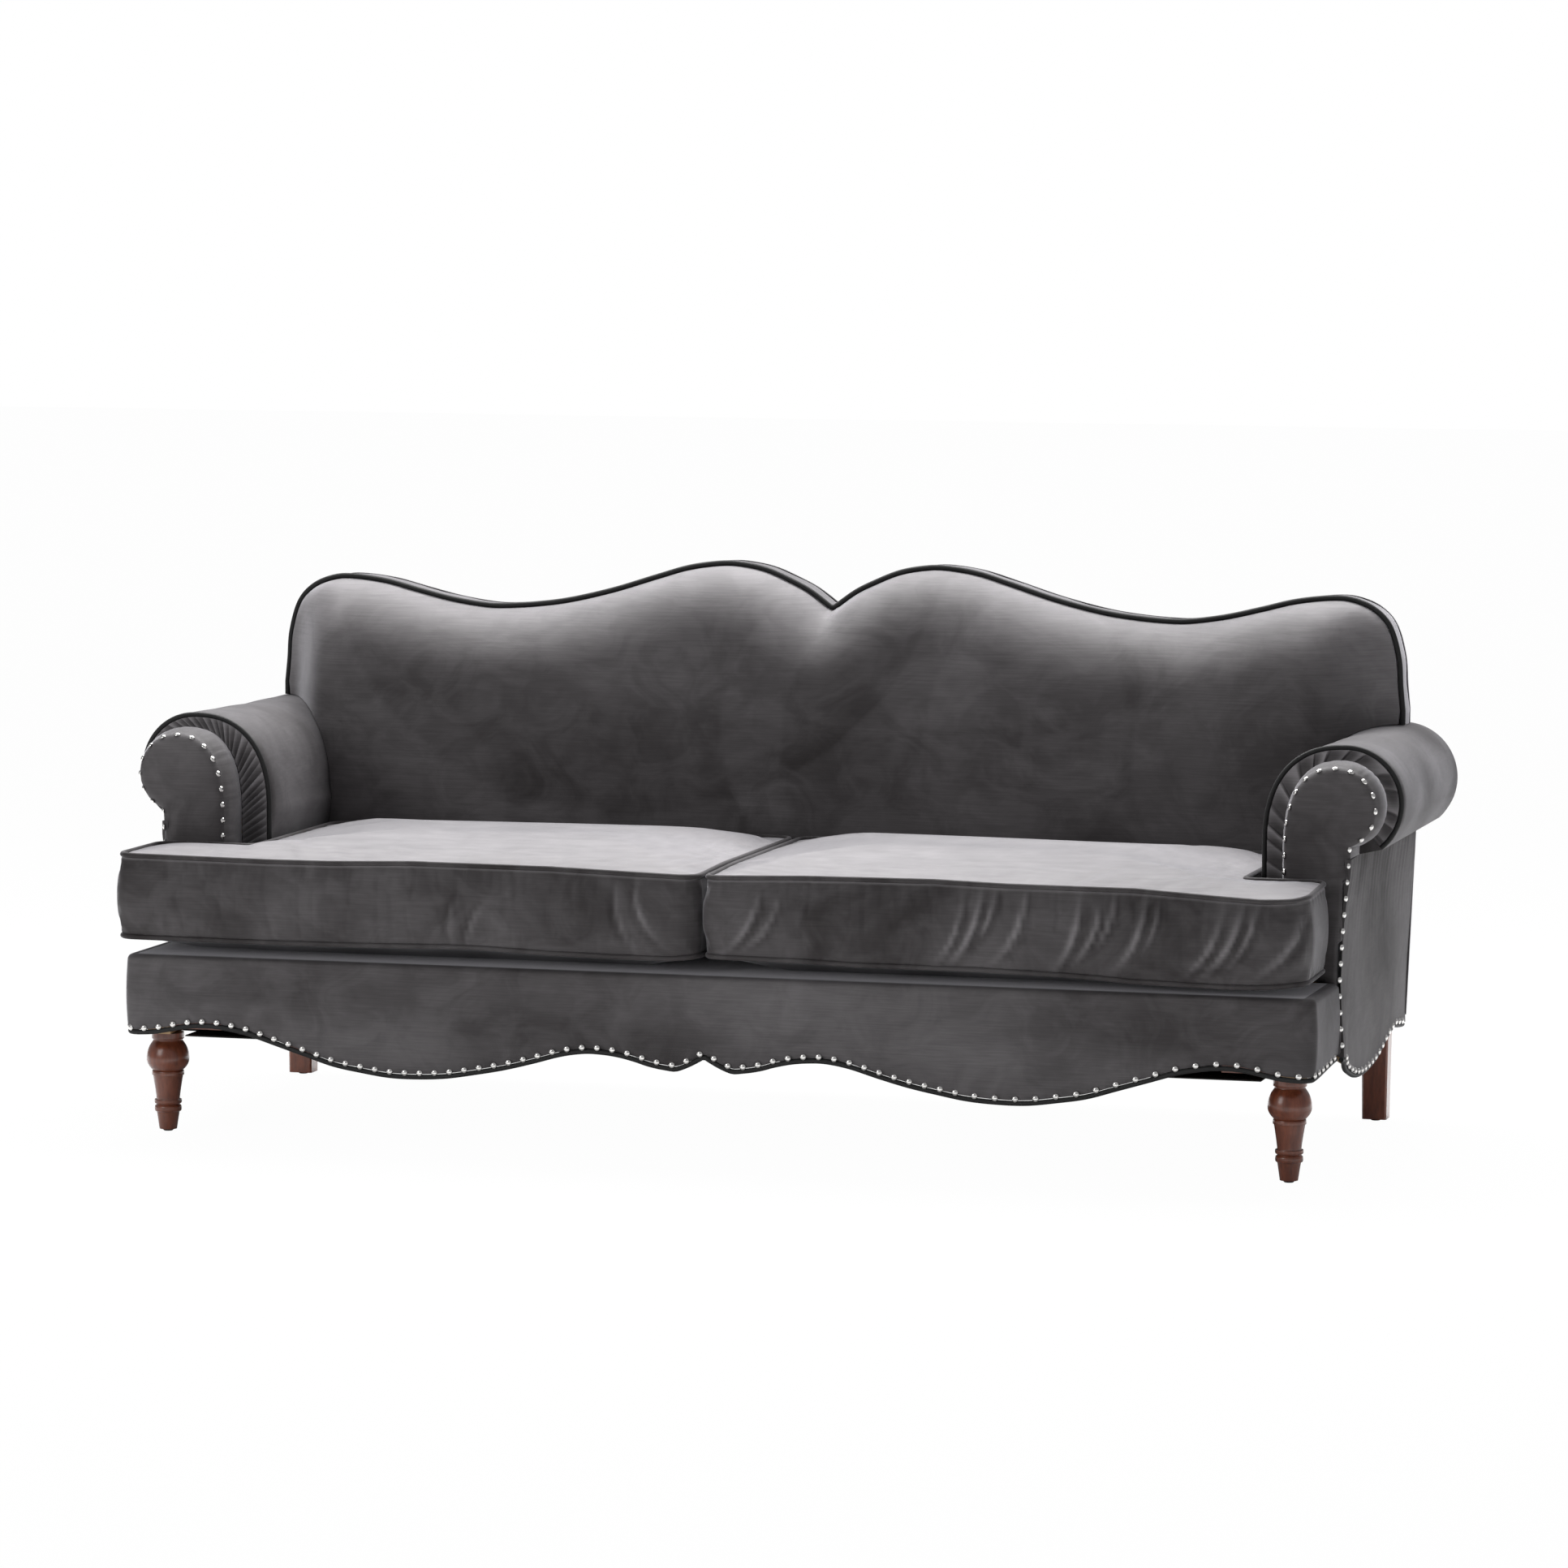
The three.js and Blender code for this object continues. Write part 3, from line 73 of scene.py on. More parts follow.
# How far the cloth swells, sinks, rounds over and gathers, in metres
BORDER_PUFF, BORDER_TURN_IN, BORDER_DENT, BORDER_DENT_REACH = 0.0022, 0.012, 0.0012, 0.012
BOXING_PUFF, PAD_SLACK, BACK_SLACK, BACK_SUNK = 0.0022, 0.0022, 0.0012, 0.001
BACK_EDGE_DROP, BACK_EDGE_ROUND, ARM_PULL, ARM_PULL_REACH = 0.003, 0.005, 0.0014, 0.020
CUSHION_CROWN, CUSHION_CROWN_REACH, CUSHION_SAG_REACH, CUSHION_SLACK = 0.027, 0.26, 0.11, 0.0018
CUSHION_PUFF, CUSHION_PRESSED = 0.0130, 0.005
SETTLE_REACH, SETTLE_OUT_FRONT, SETTLE_OUT_REST = 0.020, 0.010, 0.0015
ARM_FRONT_ROUND, ARM_FRONT_REACH, FACING_ROUND, FACING_PUFF, FACING_DISH = 0.006, 0.02, 0.009, 0.008, 0.0045
NECK_VALLEY, NECK_VALLEY_WIDE = 0.0080, 0.0075
NECK_RIDGE, NECK_RIDGE_WIDE, NECK_RIDGE_IN = 0.0040, 0.010, 0.020
PLEAT_DEPTH, PANEL_SINK, PANEL_GATHER, PANEL_FAN, PANEL_SLACK = 0.0052, 0.0012, 0.0030, 0.0020, 0.0014
PANEL_FOLD_PITCH, PANEL_GATHER_REACH, PANEL_FAN_REACH, PANEL_FAN_Z = 0.028, 0.07, 0.10, 0.15
PLEAT_PITCH = {"right": 0.034, "left": 0.0135}

# The same as shares of a size
BORDER_SHOULDER, BORDER_TURN_UP, CUSHION_END_SHARE, SETTLE_RISE_SHARE = 0.93, 0.07, 0.3, 0.4
PLEAT_CLIMB, PLEAT_FALL = 0.82, 0.18

# Puckers at a seam: their height, pitch, reach and seed
NOTCH_PUCKERS, CORNER_PUCKERS = (0.0045, 0.026, 0.075, 5), (0.0030, 0.016, 0.030, 8)
EDGE_PUCKERS, FACING_PUCKERS = (0.0008, 0.021, 0.022, 3), (0.0012, 0.016, 0.016, 6)

# Nailheads
NAIL_RADIUS, NAIL_SKIRT, NAIL_HEIGHT_SHARE, NAIL_ABOVE_WELT = 0.0054, 0.1, 0.55, 0.0072
NAIL_PITCH, BORDER_DENT_PITCH, FACING_NAIL_PITCH, SIDE_NAIL_PITCH = 0.0258, 0.0265, 0.0265, 0.032
WIDE_NAILS_X, WIDE_NAIL_PITCH = 0.43, 0.0335
FACING_NAIL_INSET, FACING_NAIL_BACK, FACING_NAIL_TILT = 0.0012, 0.0055, -0.35

# Steps along lines, numbers of rows, and nets: rings inside an edge, then squares
EDGE_STEP, CLOTH_STEP, SCROLL_STEP = 0.006, 0.008, 0.005
BACK_STEP, PLEAT_STEP, LEG_STEP = 0.01, 0.0016, 0.0016
CUSHION_ROWS, FACING_ROWS, PANEL_ROWS, BACK_ROWS, LEG_FACETS = 16, 10, 44, 3, 48
ARM_FRONT_ROWS, ARM_EVEN_ROWS_FROM = (0, 0.001, 0.003, 0.006, 0.010, 0.015, 0.021, 0.028), 0.036
CLOTH_NET = (0.002, 0.003, 0.004, 0.006, 0.007, 0.008), 0.0085
FACING_NET = (0.0015, 0.002, 0.0025, 0.003, 0.004, 0.005), 0.007
BACK_NET = (0.001, 0.0015, 0.002, 0.004), 0.02
DECK_NET, DECK_EDGE = ((0.003, 0.004), 0.03), 0.006

# Edges, as shares of the sizes that they follow
SCALLOP_SHARES = (
    (0, 0.231), (0.02, 0.388), (0.035, 0.485), (0.05, 0.553), (0.065, 0.532), (0.08, 0.504),
    (0.1, 0.445), (0.12, 0.362), (0.15, 0.271), (0.18, 0.227), (0.21, 0.228), (0.25, 0.32),
    (0.3, 0.518), (0.35, 0.696), (0.4, 0.832), (0.45, 0.947), (0.5, 0.994), (0.55, 0.989),
    (0.6, 0.9), (0.65, 0.78), (0.7, 0.571), (0.75, 0.359), (0.8, 0.147), (0.83, 0.064),
    (0.86, 0.006), (0.89, 0), (0.92, 0.044), (0.95, 0.128), (0.975, 0.188), (1, 0.211),
)
SIDE_SHARES = (
    (0, -0.055), (0.042, 0.02), (0.0836, 0.147), (0.1415, 0.434), (0.1997, 0.657), (0.288, 0.9),
    (0.376, 0.998), (0.4643, 0.996), (0.5526, 0.914), (0.612, 0.815), (0.6717, 0.651),
    (0.7306, 0.451), (0.791, 0.318), (0.852, 0.215), (0.9147, 0.299), (0.978, 0.375), (1, 0.394),
)
BACK_SHARES = (
    (0, 0.679), (0.039, 0.802), (0.079, 0.889), (0.118, 0.957), (0.158, 0.992), (0.197, 1),
    (0.256, 0.964), (0.316, 0.887), (0.395, 0.779), (0.473, 0.697), (0.533, 0.659), (0.592, 0.64),
    (0.631, 0.644), (0.69, 0.682), (0.75, 0.743), (0.809, 0.807), (0.868, 0.839), (0.907, 0.83),
    (0.947, 0.76), (0.976, 0.624), (0.992, 0.392), (0.996, 0.174), (1, 0),
)
FACING_OUTER_SHARES = (
    (0.17, 1.008), (0.20, 1.007), (0.25, 1.003), (0.30, 1.001), (0.34, 1.003), (0.40, 1.006),
    (0.48, 1.013), (0.503, 1.0145), (0.53, 1.0145),
)
SEAM_WAVES = {
    ("right", True): ((0, -0.0036), (0.17, 0.0014), (0.38, 0.0032), (0.5, 0), (0.71, -0.0004),
                      (0.84, -0.008), (0.91, -0.0115), (0.96, -0.0105), (0.987, -0.0065)),
    ("right", False): ((0, 0.0086), (0.15, 0.0071), (0.25, 0.0043), (0.45, 0.0039), (0.58, 0.0011),
                       (0.65, -0.0016), (0.71, -0.0056), (0.85, -0.0084), (0.91, -0.0078), (0.963, -0.0039)),
    ("left", True): ((0.03, -0.0041), (0.12, -0.0018), (0.26, 0.0022), (0.5, 0.0030), (0.64, -0.0015),
                     (0.75, -0.0022), (1.0, 0.0003)),
    ("left", False): ((0.017, 0.0063), (0.06, 0.0025), (0.15, 0.0026), (0.26, 0.0041), (0.4, 0.009),
                      (0.6, 0.0053), (0.75, 0.0042), (1.0, 0.005)),
}
BOXING_CREASES = {
    "right": ((0.074, 0.385, 1, 0.04, 0.0055, 0.004), (0.108, 0.388, 0.95, 0.035, 0.005, 0.003),
              (0.415, 0.378, 1.1, 0.04, 0.005, 0.004), (0.447, 0.392, 1.15, 0.045, 0.006, 0.0052),
              (0.475, 0.415, 1.2, 0.035, 0.005, 0.0036), (0.522, 0.4, 1.15, 0.045, 0.006, 0.0045),
              (0.612, 0.385, 1.2, 0.045, 0.006, 0.0048), (0.646, 0.395, 1.15, 0.04, 0.005, 0.004),
              (0.672, 0.415, 1.25, 0.035, 0.005, 0.0034), (0.716, 0.39, 1.15, 0.045, 0.006, 0.005),
              (0.745, 0.41, 1.3, 0.035, 0.005, 0.0032), (0.832, 0.375, 1, 0.04, 0.0055, 0.0042),
              (0.868, 0.39, 1.1, 0.045, 0.006, 0.005), (0.898, 0.405, 1.2, 0.04, 0.005, 0.0038),
              (0.95, 0.38, 1.05, 0.04, 0.0055, 0.0044)),
    "left": ((0.105, 0.405, 1.2, 0.04, 0.006, 0.003), (0.14, 0.39, 1.3, 0.04, 0.006, 0.002),
             (0.395, 0.365, 1.9, 0.035, 0.006, 0.0022), (0.43, 0.37, 1.6, 0.03, 0.005, 0.002)),
}
LEG_SHARES = (
    (0.41, 0), (0.52, 0.16), (0.56, 0.183), (0.62, 0.19), (0.62, 0.235), (0.55, 0.25),
    (0.56, 0.26), (0.63, 0.27), (0.63, 0.305), (0.545, 0.315), (0.7, 0.55), (0.75, 0.557),
    (0.75, 0.598), (0.7, 0.605), (0.86, 0.645), (0.97, 0.69), (1, 0.74), (0.96, 0.8),
    (0.86, 0.86), (0.71, 0.91), (0.69, 0.93), (0.76, 0.94), (0.76, 1),
)

# How a cushion's cover behaves as it settles
SETTLE_FRAMES = 20
CLOTH_SETTINGS = {
    "quality": 6, "mass": 0.3, "tension_stiffness": 15, "compression_stiffness": 15, "shear_stiffness": 5,
    "bending_stiffness": 0.8, "vertex_group_mass": "held", "shrink_min": -0.02, "use_pressure": True,
    "uniform_pressure_force": 3.0,
}

# Limits for points that coincide and for edges that stay sharp, and the sides with their signs
WELD, FLAT = 1e-6, 1e-5
CREASE_ANGLE = radians(50)
SIDES = {"right": 1, "left": -1}


# Lines in a plane
def smooth_line(points, step):
    """A smooth line through the points, with spots evenly spaced along it."""
    points = np.array(points, float)
    held = np.vstack([points[:1], points, points[-1:]])
    t = np.linspace(0, 1, 24, endpoint=False)[:, None]
    runs = []
    for a, b, c, d in zip(held, held[1:], held[2:], held[3:]):
        pull_b, pull_c = (c - a) / 2, (d - b) / 2
        runs.append((2 * b - 2 * c + pull_b + pull_c) * t ** 3
                    + (3 * c - 3 * b - 2 * pull_b - pull_c) * t ** 2 + pull_b * t + b)
    return even_line(np.vstack([*runs, points[-1:]]), step)


def places_along(line):
    return np.concatenate([[0], np.cumsum(np.linalg.norm(np.diff(line, axis=0), axis=1))])


def spots_on(line, places, wanted):
    """Points of a line at the places that are wanted, from the places of its own points."""
    return np.stack([np.interp(wanted, places, line[:, k]) for k in range(line.shape[1])], 1)


def even_line(line, step):
    line = np.array(line, float)
    place = places_along(line)
    spots = np.linspace(0, place[-1], max(int(round(place[-1] / step)), 1) + 1)
    return spots_on(line, place, spots)


def joined_line(parts, step):
    """Straight or curved parts joined end to end, each evenly spaced, with their corners kept."""
    whole = []
    for start, end in zip(parts, parts[1:]):
        whole.append(even_line([start[-1], end[0]], step)[:-1])
        whole.append(even_line(end, step) if len(end) > 1 else np.array(end, float))
    line = np.vstack([even_line(parts[0], step) if len(parts[0]) > 1 else parts[0], *whole])
    keep = np.r_[True, np.linalg.norm(np.diff(line, axis=0), axis=1) > WELD]
    return line[keep]


def outward(line, closed=False):
    """The direction square to a line at each of its spots, to the right of its run."""
    if closed:
        run = np.roll(line, -1, 0) - np.roll(line, 1, 0)
    else:
        run = np.gradient(line, axis=0)
    run = run / np.linalg.norm(run, axis=1)[:, None]
    return np.stack([run[:, 1], -run[:, 0]], 1)


def shifted(line, distance):
    return line + outward(line) * distance


def upright_line(line, y):
    """A line of (x, z) stood up in space at a depth."""
    return np.stack([line[:, 0], np.full(len(line), y), line[:, 1]], 1)


def whole_line(half):
    return np.vstack([half[:0:-1] * (-1, 1), half])


def near_line(points, line):
    """How far each point is from a line, and its place along it."""
    start, run = line[:-1], np.diff(line, axis=0)
    size = (run ** 2).sum(1)
    place = places_along(line)
    far, where = np.empty(len(points)), np.empty(len(points))
    for low in range(0, len(points), 2000):
        spot = points[low:low + 2000, None]
        share = np.clip(((spot - start) * run).sum(2) / size, 0, 1)
        gap = np.linalg.norm(spot - start - share[..., None] * run, axis=2)
        best = gap.argmin(1)
        rows = np.arange(len(best))
        far[low:low + 2000] = gap[rows, best]
        where[low:low + 2000] = place[best] + share[rows, best] * np.sqrt(size[best])
    return far, where


def edge_frame(outline, flat):
    """How far flat points are from a closed outline, their place along it and the way out there."""
    closed, ways = np.vstack([outline, outline[:1]]), outward(outline, closed=True)
    far, place = near_line(flat, closed)
    way = spots_on(np.vstack([ways, ways[:1]]), places_along(closed), place)
    return far, place, way / np.linalg.norm(way, axis=1)[:, None]


def rounded(corners, step):
    """A closed outline through corners (x, y, radius), run anticlockwise."""
    parts = []
    for i, (x, y, radius) in enumerate(corners):
        here = np.array((x, y))
        before = np.array(corners[i - 1][:2]) - here
        after = np.array(corners[(i + 1) % len(corners)][:2]) - here
        before, after = before / np.linalg.norm(before), after / np.linalg.norm(after)
        half = acos(np.clip(before @ after, -1, 1)) / 2
        back = radius / tan(half)
        middle = here + (before + after) / np.linalg.norm(before + after) * radius / sin(half)
        ends = here + before * back - middle, here + after * back - middle
        turn = np.linspace(0, 1, 12)[:, None]
        arc = ends[0] * (1 - turn) + ends[1] * turn
        parts.append(middle + arc / np.linalg.norm(arc, axis=1)[:, None] * radius)
    line = even_line(np.vstack([*parts, parts[0][:1]]), step)
    return line[:-1]


def bell(distance, width):
    return np.exp(-(distance / width) ** 2)


def rounding(far, reach):
    """The drop of a rounded edge as a share: 1 at the edge, 0 from its reach on."""
    return 1 - np.sqrt(1 - (1 - np.minimum(far / reach, 1)) ** 2)


def smooth_step(value, low, high):
    t = np.clip((value - low) / (high - low), 0, 1)
    return t * t * (3 - 2 * t)


def folds(place, pitch, seed):
    """Uneven soft folds along a line: 0 between them, 1 on their crests."""
    draw = np.random.RandomState(seed)
    phase = draw.uniform(0, 2 * pi, 4)
    swing = 0.9 * np.sin(place / pitch * 0.83 + phase[0]) + 0.6 * np.sin(place / pitch * 2.3 + phase[1])
    wave = 0.5 + 0.5 * np.sin(2 * pi * place / pitch + swing + phase[2])
    size = 0.65 + 0.35 * np.sin(place / pitch * 1.37 + phase[3])
    return wave ** 1.6 * size


def puckers(far, place, pitch, reach, seed):
    """Short folds that run in from a seam and die away."""
    draw = np.random.RandomState(seed)
    length = 0.55 + 0.45 * np.sin(place / pitch * 1.9 + draw.uniform(0, 2 * pi))
    fade = np.exp(-far / (reach * length)) * smooth_step(far, -0.001, 0.006)
    return folds(place, pitch, seed) * fade


# Meshes
def rim(bm):
    return [edge for edge in bm.edges if edge.is_boundary]


def skin(rings, capped=True):
    """A net laid through rows of points. Rows that end where they start close up."""
    rings = np.array(rings, float)
    rows, columns = rings.shape[:2]
    bm = bmesh.new()
    bmesh.ops.create_grid(bm, x_segments=columns - 1, y_segments=rows - 1, size=1)
    for vert, place in zip(bm.verts, rings.reshape(-1, 3)):
        vert.co = place
    bmesh.ops.remove_doubles(bm, verts=bm.verts[:], dist=WELD)
    if capped:
        bmesh.ops.holes_fill(bm, edges=rim(bm))
    return bm


def cut_net(bm, face, net):
    """Cuts one flat face in its XY plane into a net of small squares."""
    face.material_index = 1
    corners = np.array([v.co[:2] for v in face.verts])
    for axis in (0, 1):
        across = Vector((axis == 0, axis == 1, 0))
        for spot in np.arange(corners[:, axis].min() + net, corners[:, axis].max(), net):
            faces = []
            for f in bm.faces:
                if f.material_index == 1:
                    reach = [v.co[axis] for v in f.verts]
                    if min(reach) < spot < max(reach):
                        faces.append(f)
            edges = dict.fromkeys(e for f in faces for e in f.edges)
            verts = dict.fromkeys(v for f in faces for v in f.verts)
            bmesh.ops.bisect_plane(
                bm, geom=[*verts, *edges, *faces], dist=net / 50,
                plane_co=across * spot, plane_no=across)
    for f in bm.faces:
        f.material_index = 0


def panel(outline, insets, net):
    """A flat closed outline with rings inside its edge and a net in its middle."""
    bm = bmesh.new()
    face = bm.faces.new([bm.verts.new((x, y, 0)) for x, y in outline])
    for gap in insets:
        bmesh.ops.inset_region(bm, faces=[face], thickness=gap, use_even_offset=True)
    cut_net(bm, face, net)
    return bm


def draw_down(bm, depths, twin):
    """Draws the edge of a flat net down along Z in rows and closes it, flat or with a second net."""
    edges = rim(bm)
    if twin:
        copied = bmesh.ops.duplicate(bm, geom=[*bm.verts, *bm.edges, *bm.faces])["geom"]
        verts = [g for g in copied if isinstance(g, bmesh.types.BMVert)]
        bmesh.ops.translate(bm, verts=verts, vec=(0, 0, -sum(depths)))
    for depth in depths:
        made = bmesh.ops.extrude_edge_only(bm, edges=edges)["geom"]
        verts = [g for g in made if isinstance(g, bmesh.types.BMVert)]
        bmesh.ops.translate(bm, verts=verts, vec=(0, 0, -depth))
        edges = [g for g in made if isinstance(g, bmesh.types.BMEdge) and g.is_boundary]
    if twin:
        bmesh.ops.remove_doubles(bm, verts=bm.verts[:], dist=10 * WELD)
    else:
        bmesh.ops.holes_fill(bm, edges=rim(bm))


def placed(name, data):
    made = bpy.data.objects.new(name, data)
    bpy.context.scene.collection.objects.link(made)
    return made


def worked_out(piece):
    """A piece as its modifiers or its curve make it."""
    return piece.evaluated_get(bpy.context.evaluated_depsgraph_get())


def piece_from(bm, name, turn=1):
    """A smooth closed piece. A turn of -1 mirrors it to the left side."""
    if turn < 0:
        bmesh.ops.scale(bm, verts=bm.verts[:], vec=(-1, 1, 1))
    bmesh.ops.dissolve_degenerate(bm, edges=bm.edges[:], dist=WELD)
    bmesh.ops.recalc_face_normals(bm, faces=bm.faces[:])
    for face in bm.faces:
        face.smooth = True
    for edge in bm.edges:
        edge.smooth = not edge.is_manifold or edge.calc_face_angle(0) < CREASE_ANGLE
    mesh = bpy.data.meshes.new(name)
    bm.to_mesh(mesh)
    bm.free()
    return placed(name, mesh)


def cover(name, outline, net, depths, turn=1, twin=False):
    """A piece drawn down from an outline, and its points as they are on the right."""
    bm = panel(outline, *net)
    draw_down(bm, depths, twin)
    made = piece_from(bm, name, turn)
    return made, points_of(made) * (turn, 1, 1)


def points_of(piece):
    co = np.empty(len(piece.data.vertices) * 3)
    piece.data.vertices.foreach_get("co", co)
    return co.reshape(-1, 3)


def move_points(piece, co):
    piece.data.vertices.foreach_set("co", co.ravel())
    piece.data.update()


def carve(piece, across, deep, high):
    """Cuts a box out of a piece, from one spot to another on each axis."""
    box_bm = bmesh.new()
    ends = np.array([across, deep, high])
    bmesh.ops.create_cube(box_bm, size=1, matrix=Matrix.Translation(ends.mean(1))
                          @ Matrix.Diagonal((*np.abs(ends[:, 1] - ends[:, 0]), 1)))
    tool = piece_from(box_bm, "tool")
    cut = piece.modifiers.new("carve", "BOOLEAN")
    cut.object, cut.operation, cut.solver = tool, "DIFFERENCE", "EXACT"
    mesh = bpy.data.meshes.new_from_object(worked_out(piece))
    piece.modifiers.remove(cut)
    piece.data = mesh
    bpy.data.objects.remove(tool)


def plump(piece, held):
    """Lets a cover settle over its filling: the held points stay, the rest swells and creases."""
    group = piece.vertex_groups.new(name="held")
    group.add(np.flatnonzero(held).tolist(), 1, "REPLACE")
    cloth = piece.modifiers.new("settle", "CLOTH")
    for name, value in CLOTH_SETTINGS.items():
        setattr(cloth.settings, name, value)
    cloth.settings.effector_weights.gravity = 0
    cloth.collision_settings.use_collision = False
    cloth.point_cache.frame_start, cloth.point_cache.frame_end = 1, SETTLE_FRAMES
    for step in range(1, SETTLE_FRAMES + 1):
        bpy.context.scene.frame_set(step)
    settled = points_of(worked_out(piece))
    piece.modifiers.remove(cloth)
    piece.vertex_groups.remove(group)
    bpy.context.scene.frame_set(1)
    return settled


def round_cord(name, line, radius, closed=False):
    """A round cord along a line of points in space."""
    curve = bpy.data.curves.new(name, "CURVE")
    curve.dimensions = "3D"
    curve.bevel_depth = radius
    curve.bevel_resolution = 3
    curve.use_fill_caps = not closed
    run = curve.splines.new("POLY")
    run.points.add(len(line) - 1)
    run.points.foreach_set("co", np.c_[line, np.ones(len(line))].ravel())
    run.use_cyclic_u = closed
    loose = placed(name, curve)
    mesh = bpy.data.meshes.new_from_object(worked_out(loose))
    bpy.data.objects.remove(loose)
    for face in mesh.polygons:
        face.use_smooth = True
    return placed(name, mesh)


# Finishes
class Look:
    """A material or a world, and what is done with its nodes."""

    def __init__(self, owner):
        owner.use_nodes = True
        self.owner, self.nodes, self.links = owner, owner.node_tree.nodes, owner.node_tree.links

    def feed(self, node, inputs):
        """Gives each named input of a node its value, or the output that feeds it."""
        for key, value in inputs.items():
            socket = node.inputs[key]
            if isinstance(value, bpy.types.NodeSocket):
                self.links.new(value, socket)
            else:
                socket.default_value = (*value, 1) if socket.type == "RGBA" else value

    def node(self, kind, inputs=None, **settings):
        made = self.nodes.new("ShaderNode" + kind)
        for name, value in settings.items():
            setattr(made, name, value)
        self.feed(made, inputs or {})
        return made

    def noise(self, scale, detail, roughness=0.5, distortion=0.0):
        """Noise on the piece's own place, stretched by a scale for each axis."""
        spot = self.node("TexCoord").outputs["Object"]
        mapping = self.node("Mapping", {"Vector": spot, "Scale": scale})
        return self.node("TexNoise", {
            "Vector": mapping.outputs["Vector"], "Scale": 1, "Detail": detail, "Roughness": roughness,
            "Distortion": distortion}).outputs["Fac"]

    def ramp(self, value, low, dark, high, light):
        made = self.node("ValToRGB", {"Fac": value})
        for element, place, colour in zip(made.color_ramp.elements, (low, high), (dark, light)):
            element.position, element.color = place, (*colour, 1)
        return made.outputs["Color"]

    def mixed(self, share, a, b, blend="MIX"):
        made = self.node("Mix", {"Factor": share}, data_type="RGBA", blend_type=blend)
        self.feed(made, {6: a, 7: b})
        return made.outputs[2]

    def bumped(self, *heights):
        """Bumps laid over each other: (height, depth, strength)."""
        below = {}
        for height, depth, strength in heights:
            bump = self.node("Bump", {"Height": height, "Distance": depth, "Strength": strength, **below})
            below = {"Normal": bump.outputs["Normal"]}
        return bump.outputs["Normal"]

    def finished(self, inputs):
        self.feed(self.nodes["Principled BSDF"], inputs)
        return self.owner


def grey(value):
    return (value, value, value)


def velvet(look, dark, light, threads, sheen=1.0):
    """Short dense pile, brushed lighter and darker, with a pale sheen. The pile value also carries painted
    light and shade: where it is high, the colour is lighter and the sheen is stronger.
    """
    smears = look.noise((3.2, 3.2, 4.5), 4, 0.6, 0.8)
    blotches = look.noise((11, 11, 13), 3, 0.55, 1.5)
    thread = look.noise(threads, 2, 0.6)
    pile = look.noise((900, 900, 900), 1)
    nap_and_light = look.node("Attribute", attribute_name="nap_and_light").outputs
    tone = look.ramp(smears, 0.35, grey(0), 0.65, grey(1))
    tone = look.mixed(0.35, tone, look.ramp(blotches, 0.4, grey(0), 0.62, grey(1)))
    tone = look.mixed(NAP_AND_LIGHT_SHARE, tone, nap_and_light["Color"])
    cloth = look.mixed(tone, dark, light)
    cloth = look.mixed(0.30, cloth, look.ramp(thread, 0.3, grey(0.35), 0.7, grey(1)), "MULTIPLY")
    sheen_weight = look.node(
        "Math", {0: nap_and_light["Fac"], 1: SHEEN_WITH_NAP_AND_LIGHT * sheen, 2: SHEEN_LEAST * sheen},
        operation="MULTIPLY_ADD", use_clamp=True)
    return look.finished({
        "Base Color": cloth, "Roughness": 0.62, "Specular IOR Level": 0.25,
        "Sheen Weight": sheen_weight.outputs[0], "Sheen Roughness": 0.28, "Sheen Tint": SHEEN_TINT,
        "Normal": look.bumped((pile, 0.0006, 0.25), (blotches, 0.004, 0.12))})


def wood(look, dark, light, grain, gloss, coat):
    rings = look.noise(grain, 4, 0.6, 0.6)
    pores = look.noise(tuple(5 * g for g in grain), 2, 0.7)
    tone = look.ramp(rings, 0.3, dark, 0.7, light)
    tone = look.mixed(0.4, tone, look.ramp(pores, 0.35, grey(0.35), 0.6, grey(1)), "MULTIPLY")
    return look.finished({
        "Base Color": tone, "Roughness": gloss, "Coat Weight": coat, "Coat Roughness": 0.18,
        "Normal": look.bumped((pores, 0.0004, 0.2))})


def woven(look, dark, light, scale, roughness):
    """Plain weave of crossing yarns."""
    spot = look.node("TexCoord").outputs["Object"]
    yarn = {"Vector": spot, "Scale": scale, "Distortion": 1.5, "Detail": 1}
    waves = [look.node("TexWave", yarn, bands_direction=axis).outputs["Color"] for axis in "XYZ"]
    weave = look.mixed(1.0, look.mixed(0.5, waves[0], waves[1]), waves[2], "MULTIPLY")
    stain = look.noise((5, 5, 5), 3)
    cloth = look.mixed(weave, dark, light)
    cloth = look.mixed(0.35, cloth, look.ramp(stain, 0.3, grey(0.6), 0.7, grey(1)), "MULTIPLY")
    return look.finished({
        "Base Color": cloth, "Roughness": roughness, "Normal": look.bumped((weave, 0.0005, 0.5))})


def metal(look, colour, roughness, is_metal=1.0):
    wear = look.noise((160, 160, 160), 3)
    tone = look.mixed(0.5, colour, look.ramp(wear, 0.3, grey(0.8), 0.7, colour), "MULTIPLY")
    rough = look.ramp(wear, 0.35, grey(roughness), 0.7, grey(roughness * 1.8))
    return look.finished({"Base Color": tone, "Roughness": rough, "Metallic": is_metal})
